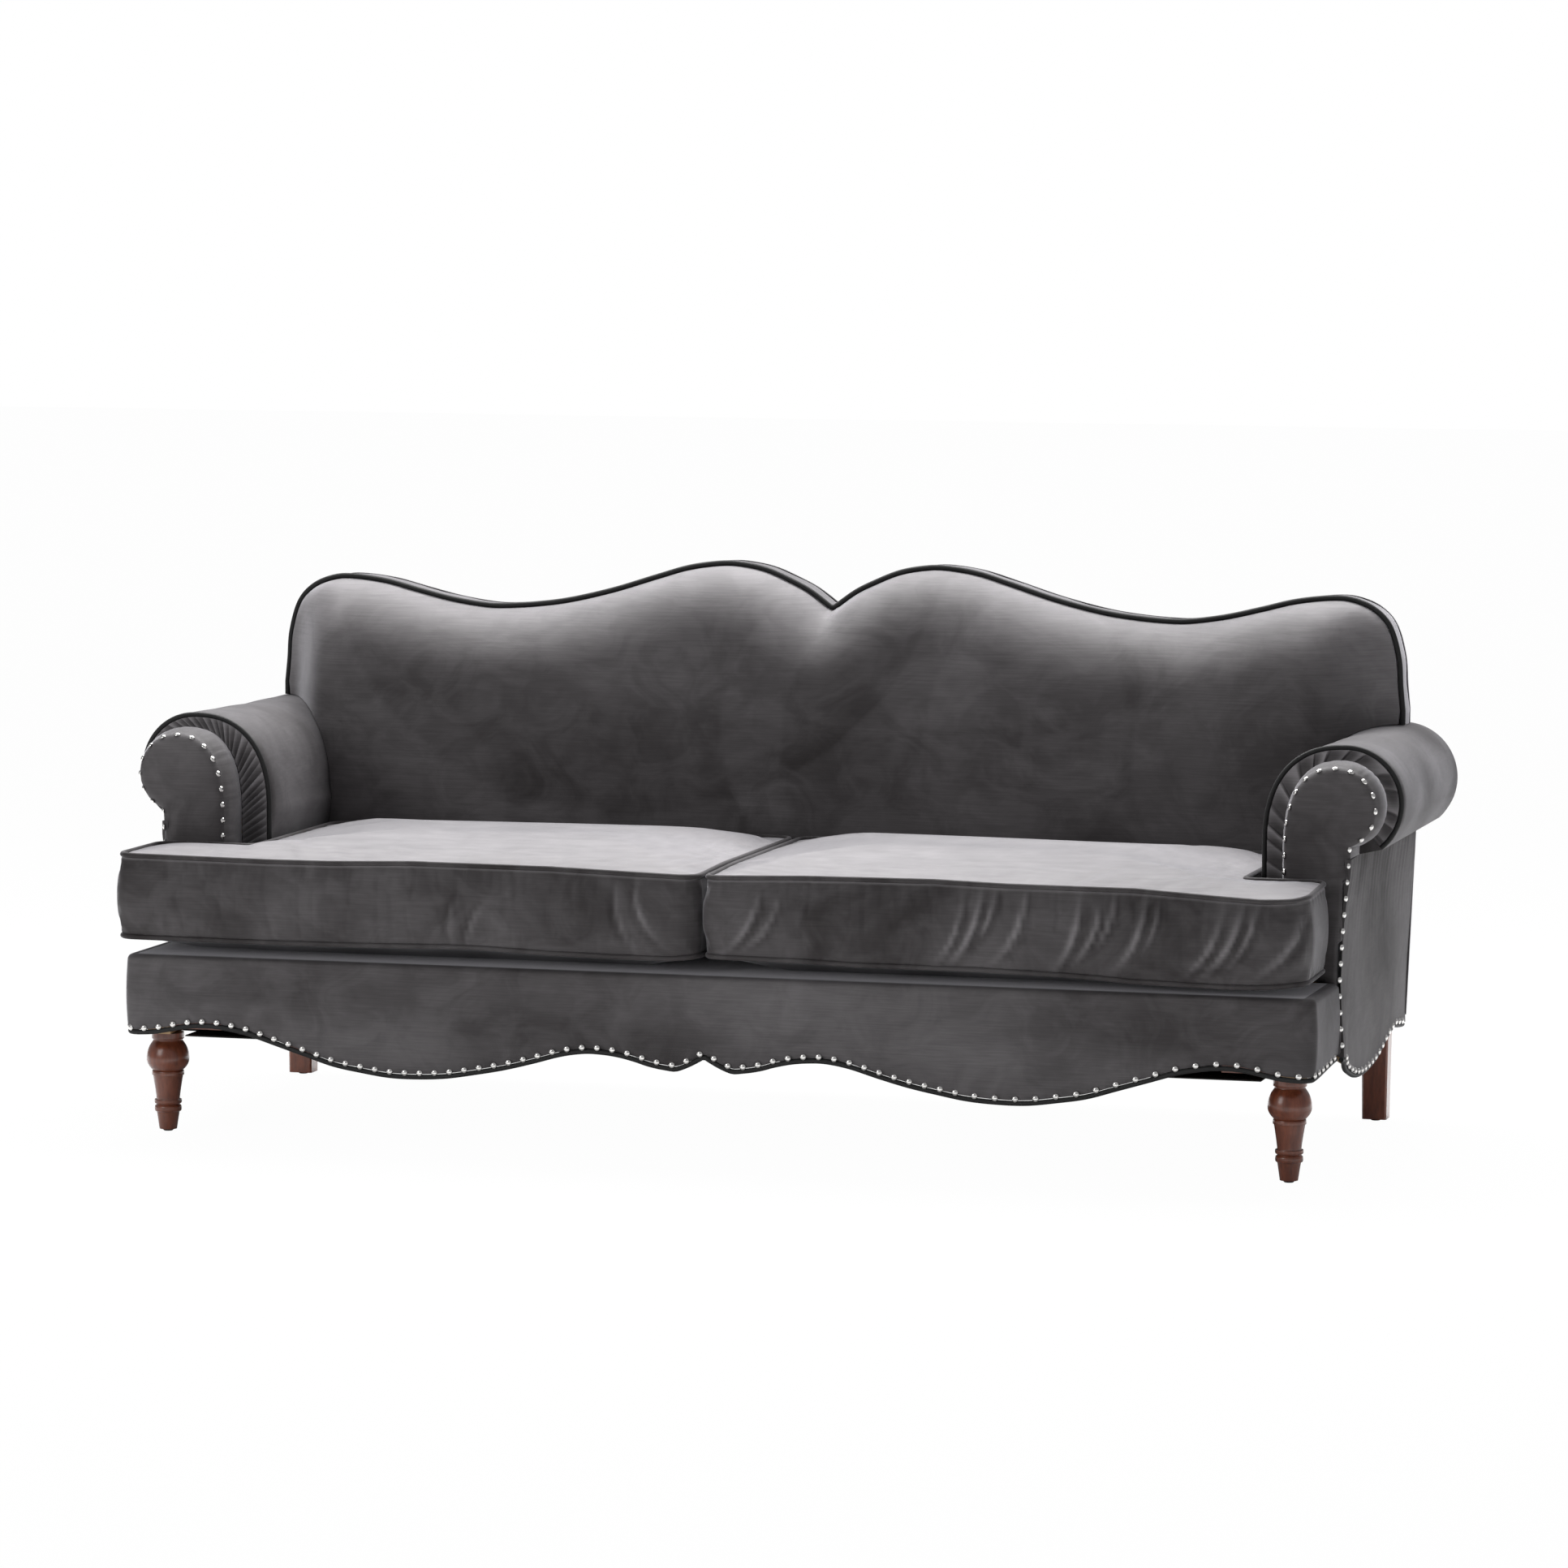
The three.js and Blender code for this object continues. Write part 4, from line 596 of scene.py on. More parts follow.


# The pile value's share in the colour, and the sheen that it adds, carry painted light as well as brushing
NAP_AND_LIGHT_SHARE, SHEEN_LEAST, SHEEN_WITH_NAP_AND_LIGHT, SHEEN_TINT = 0.82, 0.35, 2.6, (0.955, 0.945, 1.0)
# How far crease ridges are painted lighter and the valleys beside them darker
CREASE_PAINTED_LIGHT = 105
DARK_PILE, LIGHT_PILE_AND_PAINTED_LIGHT = (0.0195, 0.0158, 0.0160), (0.352, 0.336, 0.346)
RECIPES = {
    "velvet": (velvet, DARK_PILE, LIGHT_PILE_AND_PAINTED_LIGHT, (14, 14, 420)),
    # Painted shade: a near-black copy of the velvet with little sheen, for the welt cords in the seams
    "welt_velvet": (velvet, grey(0.020), grey(0.036), (300, 300, 300), 0.3),
    # Painted shade: a copy of the velvet with little sheen, which darkens the outside arms
    "shaded_side_velvet": (velvet, DARK_PILE, LIGHT_PILE_AND_PAINTED_LIGHT, (14, 14, 420), 0.22),
    # Painted shade: a copy of the velvet with less sheen, which darkens the arm pads
    "shaded_arm_velvet": (velvet, DARK_PILE, LIGHT_PILE_AND_PAINTED_LIGHT, (420, 30, 420), 0.45),
    "stained_wood": (wood, (0.115, 0.027, 0.012), (0.235, 0.066, 0.030), (38, 38, 7), 0.3, 0.45),
    "frame_timber": (wood, (0.42, 0.26, 0.13), (0.62, 0.43, 0.24), (9, 30, 30), 0.65, 0.0),
    "webbing": (woven, (0.10, 0.075, 0.05), (0.36, 0.29, 0.20), 260, 0.85),
    "lining": (woven, grey(0.012), grey(0.035), 420, 0.9),
    "glide": (metal, grey(0.03), 0.35, 0.0),
    "bolt_steel": (metal, grey(0.55), 0.28),
    "nail_chrome": (metal, (0.86, 0.85, 0.83), 0.09),
}
FINISHES = {
    name: make(Look(bpy.data.materials.new(name)), *values) for name, (make, *values) in RECIPES.items()}


def dress(piece, look, body, nodes=()):
    """Gives a piece its finish, the body that it rides on and the nodes that it stands for."""
    piece.data.materials.clear()
    piece.data.materials.append(FINISHES[look])
    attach(piece, body)
    if nodes:
        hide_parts(*nodes)


def welt(name, line, radius, node):
    dress(round_cord(name, line, radius), "welt_velvet", "root", [node])


def lay_nap_and_light(piece, value):
    """Lays the pile and painted light and shade: 0 brushed dark or painted shade, 1 brushed light or painted
    light.
    """
    nap_and_light = piece.data.attributes.new("nap_and_light", "FLOAT", "POINT")
    nap_and_light.data.foreach_set("value", np.clip(value, 0, 1).astype(np.float32))


# Corner blocks are raw timber; the dark stained wood on them is painted shade under the seat
NODE_LOOKS = {
    "rail": "frame_timber", "post": "frame_timber", "block": "stained_wood", "webbing": "webbing",
    "dust_cover": "lining", "rear_leg": "stained_wood", "glide": "glide", "bolt": "bolt_steel",
}
for node_name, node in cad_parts.items():
    look = next((look for word, look in NODE_LOOKS.items() if word in node_name), "velvet")
    node.data.materials.clear()
    node.data.materials.append(FINISHES[look])


# Edges that several pieces follow
scallop_half = smooth_line(
    [(along * (BORDER_HALF - BORDER_CORNER), SCALLOP_CREST_Z - drop * SCALLOP_DROP + WELT_RADIUS)
     for along, drop in SCALLOP_SHARES], EDGE_STEP)
scallop_line = whole_line(scallop_half)
side_line = smooth_line(
    [(FACING_FRONT_Y + along * (SIDE_REAR_Y - FACING_FRONT_Y),
      SIDE_CREST_Z - drop * SIDE_DROP + WELT_RADIUS) for along, drop in SIDE_SHARES], EDGE_STEP)
back_half_line = smooth_line(
    [(along * BACK_HALF, BACK_SHOULDER_Z + up * BACK_HUMP) for along, up in BACK_SHARES], EDGE_STEP)
back_line = whole_line(back_half_line)


def side_z(y):
    return np.interp(y, side_line[:, 0], side_line[:, 1])


def back_top_z(x):
    return np.interp(np.abs(x), back_half_line[:, 0], back_half_line[:, 1])


def scroll(seat_half, radius, under):
    """The arm's scroll from the front: up the seat side, over the top and round under."""
    turn = np.linspace(0, pi / 2, 40)
    rise = ROLL_Z + radius - ROLL_SPRING_Z
    quarter = np.stack([ROLL_X - seat_half * np.cos(turn).clip(0) ** SCROLL_SQUARE,
                        ROLL_SPRING_Z + rise * np.sin(turn).clip(0) ** SCROLL_SQUARE], 1)
    sweep = np.linspace(pi / 2, -under, 60)[1:]
    over = np.stack([ROLL_X + radius * np.cos(sweep), ROLL_Z + radius * np.sin(sweep)], 1)
    return np.vstack([quarter, over])


def roll_slim(y):
    """How slim the roll is at a depth, as a share of its front end."""
    back = np.clip((y - ROLL_FRONT_Y) / (ROLL_REAR_Y - ROLL_FRONT_Y), 0, 1)
    return 1 - ROLL_TAPER * back - ROLL_DIP * np.sin(pi * back)


def slimmed(line, y):
    slim = roll_slim(y)
    above = np.maximum(line[:, 1] - NECK_Z, 0)
    share = 1 - (1 - slim) * smooth_step(above, 0, 0.03)
    return np.stack([ROLL_X + (line[:, 0] - ROLL_X) * share, line[:, 1] - above * (1 - slim)], 1)


def back_edge(inset, bottom_z):
    """The top edge of the back with its two straight sides, from left to right."""
    edge = shifted(back_line, inset)
    return joined_line([[(edge[0, 0], bottom_z)], edge, [(edge[-1, 0], bottom_z)]], EDGE_STEP)


# Front border with its padding and welt
def border_plan(inset):
    """Its path seen from above, from the left facing round the front to the right facing."""
    corner = BORDER_CORNER - inset
    turn = np.linspace(0, pi / 2, 16)
    right = np.stack([BORDER_HALF - inset - corner + corner * np.sin(turn),
                      BORDER_FACE_Y + inset + corner - corner * np.cos(turn)], 1)
    left = right[::-1] * (-1, 1)
    end_y = FACING_FRONT_Y - SEAM
    ends = [(-BORDER_HALF + inset, end_y)], [(BORDER_HALF - inset, end_y)]
    return joined_line([ends[0], left, right, ends[1]], EDGE_STEP)


def border_low_z(x, y):
    """The height of its welt, which rises a little along the sides."""
    rise = BORDER_SIDE_RISE * smooth_step(y, BORDER_FACE_Y + BORDER_CORNER, FACING_FRONT_Y)
    return np.interp(x, scallop_line[:, 0], scallop_line[:, 1]) + rise


def nailheads(name, line, ways, pitch):
    """Low domes spaced by a pitch along a line in space, each facing the way that is given there."""
    steps = np.linalg.norm(np.diff(line, axis=0), axis=1)
    count = np.concatenate([[0], np.cumsum(steps / (np.ones(len(line)) * pitch)[1:])])
    spots = np.arange(0.5, count[-1])
    bm = bmesh.new()
    for spot, way in zip(spots_on(line, count, spots), spots_on(ways, count, spots)):
        made = bmesh.ops.create_uvsphere(bm, u_segments=12, v_segments=8, radius=NAIL_RADIUS)["verts"]
        low = [v for v in made if v.co.z < -NAIL_RADIUS * NAIL_SKIRT]
        bmesh.ops.delete(bm, geom=low, context="VERTS")
        kept = [v for v in made if v.is_valid]
        for v in kept:
            v.co.z *= NAIL_HEIGHT_SHARE
        turn = Vector(way).to_track_quat("Z", "Y").to_matrix().to_4x4()
        bmesh.ops.transform(bm, matrix=Matrix.Translation(spot) @ turn, verts=kept)
    bmesh.ops.holes_fill(bm, edges=rim(bm))
    dress(piece_from(bm, name), "nail_chrome", "root")


def front_border():
    plan = border_plan(0)
    place = places_along(plan)
    way = outward(plan)
    low_z = border_low_z(*plan.T) + WELT_RADIUS + SEAM
    out_wave = 0.0011 * np.sin(place * 9.1) + 0.0008 * np.sin(place * 23.7 + 1)
    section = [(-BORDER_THICK, 0.0), (-0.006, 0.0), (-0.0025, 0.002)]
    face_rows, top_turn = np.linspace(0.04, BORDER_SHOULDER, 26), np.linspace(0.1, pi / 2, 8)
    section += [(BORDER_PUFF * sin(pi * min(t * 1.05, 1)), t) for t in face_rows]
    section += [(-BORDER_TURN_IN * (1 - cos(a)), BORDER_SHOULDER + BORDER_TURN_UP * sin(a))
                for a in top_turn]
    section += [(-BORDER_THICK, 1.0), (-BORDER_THICK, 0.0)]
    rings = []
    for i, (spot, out, low) in enumerate(zip(plan, way, low_z)):
        ring = []
        for off, up in section:
            z = low + (BORDER_TOP_Z - low) * up
            swell = off + (out_wave[i] * sin(pi * up) if off > -0.001 else 0)
            ring.append((spot[0] + out[0] * swell, spot[1] + out[1] * swell, z))
        rings.append(ring)
    border = piece_from(skin(rings), "border_cover")
    co = points_of(border)
    dent = bell(co[:, 2] - border_low_z(co[:, 0], co[:, 1]) - NAIL_ABOVE_WELT, BORDER_DENT_REACH)
    face = co[:, 1] < BORDER_FACE_Y + 0.003
    co[:, 1] += face * dent * (
        BORDER_DENT - BORDER_DENT * np.cos(co[:, 0] / BORDER_DENT_PITCH * 2 * pi))
    move_points(border, co)
    # The border's sides get the lowest pile value, which darkens them and lowers their sheen: painted shade
    side = smooth_step(co[:, 1], BORDER_FACE_Y, BORDER_FACE_Y + BORDER_CORNER)
    lay_nap_and_light(border, (0.15 + 0.09 * np.sin(co[:, 0] * 5 + np.sin(co[:, 2] * 30))) * (1 - side))
    dress(border, "velvet", "root", ["front_border"])


def border_nails():
    plan = border_plan(0)
    place, way = places_along(plan), outward(plan)
    row = shifted(np.c_[place, border_low_z(*plan.T)], -NAIL_ABOVE_WELT)
    spots = spots_on(plan, place, row[:, 0])
    pitch = np.where(spots[:, 0] > WIDE_NAILS_X, WIDE_NAIL_PITCH, NAIL_PITCH)
    nailheads("border_nails", np.c_[spots, row[:, 1]], np.c_[way, np.zeros(len(way))], pitch)


front_border()
welt_plan = border_plan(WELT_RADIUS)
welt("border_welt", np.c_[welt_plan, border_low_z(*welt_plan.T)], WELT_RADIUS, "front_border_welt")
border_nails()


# Inside back: upright behind the seat, leaning away above, rounded over to the welt
def pad_front(x, z, far, side_far):
    top = back_top_z(x)
    above = np.clip(z - PAD_UPRIGHT_Z, -PAD_BEND, None)
    above = np.where(above < PAD_BEND, (above + PAD_BEND) ** 2 / (4 * PAD_BEND), above)
    lean = np.clip(above / (top - PAD_UPRIGHT_Z), 0, 1)
    full = PAD_THICK + (PAD_TOP_THICK - PAD_THICK) * lean
    round_top = np.minimum(far / PAD_ROUND, 1)
    round_side = np.minimum(side_far / PAD_SIDE_ROUND, 1)
    share = np.sqrt(1 - (1 - round_top) ** 2) * np.sin(round_side * pi / 2)
    return BOXING_FRONT_Y - SEAM - PAD_EDGE - (full - PAD_EDGE) * share


def inside_back():
    inset = 2 * BACK_WELT_RADIUS + 2 * SEAM
    edge = shifted(back_line, inset)
    roll = slimmed(scroll(ROLL_SEAT_HALF + PAD_GAP, ROLL_RADIUS + PAD_GAP, 0.0), PAD_ROLL_Y)
    roll = roll[roll[:, 0] < edge[-1, 0]][::-1]
    inner = INNER_ARM_X - PAD_ARM_GAP
    right = joined_line([roll, [(inner, INNER_ARM_TOP_Z)], [(inner, DECK_TOP_Z + SEAM)]], CLOTH_STEP)
    left = right[::-1] * (-1, 1)
    outline = joined_line([edge, right, left, edge[:1]], CLOTH_STEP)[:-1]
    pad, co = cover("inside_back", outline, CLOTH_NET, [PAD_EDGE])
    x, z, rear = co[:, 0], co[:, 1], co[:, 2] < -PAD_EDGE / 2
    flat = np.stack([x, z], 1)
    far, place = near_line(flat, back_edge(inset, ROLL_Z))
    side_far = np.maximum(BACK_HALF - inset - np.abs(x), 0)
    y = pad_front(x, z, far, side_far)
    from_notch = place - places_along(back_edge(inset, ROLL_Z))[-1] / 2
    near_notch = bell(from_notch, 0.10)
    near_corner = bell(np.abs(from_notch) - BACK_CORNER_PLACE, 0.16)
    depth = 0
    for where, (high, *kind) in (
            (near_notch, NOTCH_PUCKERS), (near_corner, CORNER_PUCKERS), (1, EDGE_PUCKERS)):
        depth = depth + high * where * puckers(far, place, *kind)
    slack = PAD_SLACK * np.sin(x * 5.3 + 2.1 * np.sin(z * 6)) * np.sin(z * 9 + x * 1.7)
    slack = slack * smooth_step(far, 0.02, 0.15)
    y = np.where(rear, BOXING_FRONT_Y - SEAM, y + depth + slack)
    move_points(pad, np.stack([x, y, z], 1))
    lay_nap_and_light(pad, back_nap_and_light(x, z, far))
    dress(pad, "velvet", "root", ["inside_back_pad"])


def back_nap_and_light(x, z, far):
    """Broad strokes of a hand over the pile, each with one soft and one clear edge, laid over painted light.

    Each has a middle, a radius, the width of its soft edge and a change in tone."""
    # Painted light: the upper back and the rim along its top edge are lighter, as where light falls from
    # above. The tone is also a little lighter towards the left
    tone = 0.09 - 0.02 * x + 0.22 * smooth_step(z, 0.66, 0.92) * (0.85 - 0.4 * x) + 0.28 * np.exp(-far / 0.05)
    strokes = (
        (-0.33, 0.98, 0.56, 0.16, -0.07), (0.42, 0.63, 0.47, 0.10, -0.05), (0.62, 0.64, 0.42, 0.10, 0.07),
        (0.86, 0.62, 0.30, 0.10, 0.06), (0.20, 0.66, 0.36, 0.10, 0.05), (-0.75, 0.50, 0.22, 0.10, 0.05),
    )
    for centre_x, centre_z, radius, soft, change in strokes:
        gap = radius - np.hypot(x - centre_x, (z - centre_z) * 1.15)
        tone = tone + change * smooth_step(gap, 0, 0.010) * (1 - smooth_step(gap, soft * 0.4, soft * 2.4))
    return tone


def back_welt():
    bottom = slimmed(np.array([(ROLL_X, ROLL_Z + ROLL_RADIUS)]), BOXING_FRONT_Y)[0, 1] + 2 * SEAM
    line = upright_line(back_edge(BACK_WELT_RADIUS, bottom), BOXING_FRONT_Y - SEAM - BACK_WELT_RADIUS)
    welt("back_welt_cord", line, BACK_WELT_RADIUS, "back_welt")


def back_boxing():
    """The strip that runs over the back's edge between the welt and the outside back."""
    line = back_edge(BOXING_DROP, BOXING_BOTTOM_Z)
    way = outward(line)
    across = np.linspace(0, 1, 14)
    section = [(-BOXING_THICK, t) for t in (1.0, 0.0)]
    section += [(-BOXING_PUFF * abs(2 * t - 1) ** 6, t) for t in across]
    section.append(section[0])
    rings = []
    for i, (spot, out) in enumerate(zip(line, way)):
        swell = 0.0007 * sin(i * 0.35) * sin(i * 0.11)
        rings.append([
            (spot[0] - out[0] * (off + swell), BOXING_FRONT_Y + (SIDE_REAR_Y - BOXING_FRONT_Y) * t,
             spot[1] - out[1] * (off + swell)) for off, t in section])
    boxing = piece_from(skin(rings), "back_boxing")
    co = points_of(boxing)
    lay_nap_and_light(boxing, 0.2 + 0.1 * np.sin(co[:, 0] * 7))
    dress(boxing, "velvet", "root", ["back_border"])


inside_back()
back_welt()
back_boxing()


# Seat deck
def seat_deck():
    """It covers the frame as far as the facings and the arm pads."""
    arm_x, facing_x = INNER_ARM_X - SEAM, ROLL_X - FACING_SEAT_HALF - SEAM
    half = np.array([
        (DECK_HALF, DECK_FRONT_Y), (DECK_HALF, FACING_FRONT_Y - SEAM), (facing_x, FACING_FRONT_Y - SEAM),
        (facing_x, ROLL_FRONT_Y - SEAM), (arm_x, ROLL_FRONT_Y - SEAM), (arm_x, DECK_REAR_Y)])
    deck, co = cover("deck_cover", np.vstack([half, half[::-1] * (-1, 1)]), DECK_NET,
                     [DECK_EDGE, DECK_TOP_Z - DECK_BOTTOM_Z - DECK_EDGE])
    move_points(deck, co + (0, 0, DECK_TOP_Z))
    lay_nap_and_light(deck, np.full(len(co), 0.3))
    dress(deck, "velvet", "root", ["seat_deck"])


# Seat cushions
def cushion_outline(side):
    inner = CUSHION_INNER_X + SIDES[side] * CUSHION_MEET_X
    ear = CUSHION_EAR_X[side]
    return rounded([
        (inner, CUSHION_FRONT_Y, CUSHION_CORNER), (ear, CUSHION_FRONT_Y, CUSHION_NOSE[side]),
        (ear, CUSHION_EAR_Y, CUSHION_CORNER), (CUSHION_ARM_X, CUSHION_EAR_Y, CUSHION_INNER_CORNER),
        (CUSHION_ARM_X, CUSHION_REAR_Y, CUSHION_CORNER), (inner, CUSHION_REAR_Y, CUSHION_CORNER),
    ], CLOTH_STEP)


def seam_z(side, x, y, top):
    """The height of a cushion's upper or lower seam, which waves along its front."""
    along, rise = np.array(SEAM_WAVES[side, top]).T
    in_front = 1 - smooth_step(y, CUSHION_FRONT_Y + 0.02, CUSHION_EAR_Y)
    flat = CUSHION_TOP_Z if top else CUSHION_BOTTOM_Z
    return flat + np.interp(x, along, rise) * in_front


def cushion_puff(way, y):
    """How far the boxing swells: more where nothing holds it."""
    free = np.clip(np.maximum(-way[:, 1], CUSHION_END_SHARE * way[:, 0] * (y < CUSHION_EAR_Y)), 0, 1)
    return CUSHION_PRESSED + (CUSHION_PUFF - CUSHION_PRESSED) * free


def cushion(side):
    turn = SIDES[side]
    outline = cushion_outline(side)
    high = CUSHION_TOP_Z - CUSHION_BOTTOM_Z
    made, co = cover(
        f"{side}_cushion_cover", outline, CLOTH_NET, [high / CUSHION_ROWS] * CUSHION_ROWS, turn, twin=True)
    down = -co[:, 2] / high
    far, _, way = edge_frame(outline, co[:, :2])
    x, y = co[:, 0], co[:, 1]
    upper, lower = seam_z(side, x, y, True), seam_z(side, x, y, False)
    share = np.minimum(far / CUSHION_CROWN_REACH, 1)
    on_ear = smooth_step(x, CUSHION_ARM_X - 0.06, CUSHION_ARM_X + 0.05)
    crown = share ** 1.5 * (2.5 - 1.5 * share) * (1 - 0.55 * on_ear)
    on_top, below = down < 1e-4, down > 1 - 1e-4
    z = upper + (lower - upper) * down
    slack = CUSHION_SLACK * np.sin(x * 7 + 3 * np.sin(y * 8)) * np.sin(y * 11 + 1)
    slack = slack * smooth_step(far, 0.01, 0.08)
    z = np.where(on_top, upper + CUSHION_CROWN * crown + slack, z)
    sag = np.minimum(far / CUSHION_SAG_REACH, 1) ** 1.3 * (lower - DECK_TOP_Z - SEAM)
    z = np.where(below, lower - sag, z)
    boxing = ~on_top & ~below
    puff = np.where(boxing, cushion_puff(way, y) * np.sin(pi * down.clip(0, 1)), 0)
    co = np.stack([x + way[:, 0] * puff, y + way[:, 1] * puff, z], 1)
    move_points(made, co * (turn, 1, 1))
    settled = plump(made, (far < FLAT) & ~boxing | below) * (turn, 1, 1)
    shift = np.clip(settled - co, -SETTLE_REACH, SETTLE_REACH)
    shift[:, 2] *= np.where(on_top, SETTLE_RISE_SHARE, 1)
    reach = (shift[:, :2] * way).sum(1)
    held = np.minimum(reach, np.where(way[:, 1] < -0.5, SETTLE_OUT_FRONT, SETTLE_OUT_REST))
    shift[:, :2] += way * (held - reach)[:, None] * boxing[:, None]
    creases = boxing_creases(side, x, z, y) * boxing * np.sin(pi * down.clip(0, 1)) ** 0.4
    co = co + shift
    co[:, :2] += way * creases[:, None]
    move_points(made, co * (turn, 1, 1))
    # Painted light: the tops are far lighter than the boxing, each crease ridge gets a painted highlight, and
    # the valley beside it gets painted shade
    lay_nap_and_light(made, cushion_nap_and_light(x, y, on_top, turn) + creases * CREASE_PAINTED_LIGHT)
    dress(made, "velvet", f"cushion_{side}", [f"{side}_seat_cushion"])
    finer = made.modifiers.new("finer", "SUBSURF")
    finer.levels = finer.render_levels = 1
    for name, top in (("upper", True), ("lower", False)):
        line = np.c_[outline, seam_z(side, *outline.T, top)] * (turn, 1, 1)
        cord = round_cord(f"{side}_cushion_{name}_welt", line, CUSHION_WELT_RADIUS, closed=True)
        dress(cord, "velvet", f"cushion_{side}")


def boxing_creases(side, x, z, y):
    """Slanted folds in the front of a boxing, each a soft ridge with a valley beside it.

    Each has a spot on the front, a slant, a length, a width and a height."""
    depth = np.zeros(len(x))
    for at_x, at_z, lean, length, wide, high in BOXING_CREASES[side]:
        along = (x - at_x) * cos(lean) + (z - at_z) * sin(lean)
        across = -(x - at_x) * sin(lean) + (z - at_z) * cos(lean)
        bend = across - 0.15 * along ** 2 / length
        depth += high * bell(along / length, 1.2) * (bell(bend, wide) - 0.8 * bell(bend + 1.6 * wide, wide))
    return depth * (1 - smooth_step(y, CUSHION_FRONT_Y + 0.03, CUSHION_EAR_Y))


def cushion_nap_and_light(x, y, on_top, turn):
    # Tops are painted light, as where the overhead light falls. The boxing is dark, and the right cushion's
    # is a little darker than the left's
    tone = 0.86 + 0.14 * np.sin(x * 4.1 + 2 * np.sin(y * 5)) * np.sin(y * 6 + turn)
    return np.where(on_top, tone, 0.058 - 0.012 * turn + 0.05 * np.sin(x * 9 + turn) * np.sin(x * 23))


# Arm pads, rolled over and tapering to the back
def arm_section():
    """The closed section of an arm pad at its front end."""
    pad_x, neck_z = INNER_ARM_X + INNER_ARM_PAD, NECK_Z + SEAM
    roll = even_line(scroll(ROLL_SEAT_HALF, ROLL_RADIUS, ROLL_UNDER), EDGE_STEP)
    return joined_line([
        [(INNER_ARM_X, DECK_BOTTOM_Z)], [(INNER_ARM_X, INNER_ARM_TOP_Z)], roll, [(NECK_X, neck_z)],
        [(pad_x, neck_z)], [(pad_x, DECK_BOTTOM_Z)]], CLOTH_STEP)


def arm_pad(side):
    section = arm_section()
    place = places_along(section)
    way = outward(section[::-1])[::-1]
    reach = ROLL_REAR_Y - ROLL_FRONT_Y
    even_rows = np.arange(ARM_EVEN_ROWS_FROM, reach - CLOTH_STEP / 2, CLOTH_STEP)
    rings = []
    for start in [*ARM_FRONT_ROWS, *even_rows, reach]:
        y = ROLL_FRONT_Y + start
        line = slimmed(section, y)
        free = smooth_step(place, 0.0, 0.1) * (1 - smooth_step(place, place[-1] - 0.45, place[-1] - 0.40))
        edge = ARM_FRONT_ROUND * rounding(start, ARM_FRONT_REACH)
        wave = 0.0008 * np.sin(start * 17 + place * 9) * np.sin(start * 7 + 1)
        wave = wave + 0.0004 * np.sin(start * 41 + place * 23)
        pull = ARM_PULL * folds(place, 0.013, 4) * exp(-start / ARM_PULL_REACH)
        line = line + way * ((wave - pull) * free - edge * free)[:, None]
        rings.append(upright_line(line, y))
    rings = np.array(rings)
    rings = np.concatenate([rings, rings[:, :1]], 1)
    made = piece_from(skin(rings), f"{side}_arm_pad_cover", SIDES[side])
    carve(made, (SIDES[side] * (BACK_HALF - BOXING_DROP + SEAM), 0), (BOXING_FRONT_Y - SEAM, 0.6), (0, 0.9))
    co = points_of(made)
    # The roll's top is painted lighter, as where light falls from above; the waves are the pile's own
    tone = 0.12 + 0.03 * smooth_step(co[:, 2], 0.58, 0.67) + 0.05 * np.sin(co[:, 1] * 22 + co[:, 2] * 13)
    lay_nap_and_light(made, tone)
    dress(made, "shaded_arm_velvet", "root", [f"{side}_arm_pad"])


# Arm facings, padded over the scroll-shaped posts
def facing_outer_x(z):
    low, out = np.array(FACING_OUTER_SHARES).T
    return np.interp(z, low, out)


def facing_outline():
    """The front of a facing: up its seat side, round its scroll and down its outer side."""
    top = scroll(FACING_SEAT_HALF, FACING_RADIUS, FACING_UNDER)
    foot_z = side_z(FACING_FRONT_Y) + WELT_RADIUS + SEAM
    down = np.linspace(NECK_Z - 0.014, foot_z, 40)
    seat_x = ROLL_X - FACING_SEAT_HALF
    rail_x = SIDE_RAIL_X + SEAM
    return joined_line([
        [(seat_x, DECK_TOP_Z + SEAM)], even_line(top, SCROLL_STEP), np.c_[facing_outer_x(down), down],
        [(rail_x, foot_z)], [(rail_x, DECK_TOP_Z + SEAM)], [(seat_x, DECK_TOP_Z + SEAM)]], SCROLL_STEP)[:-1]


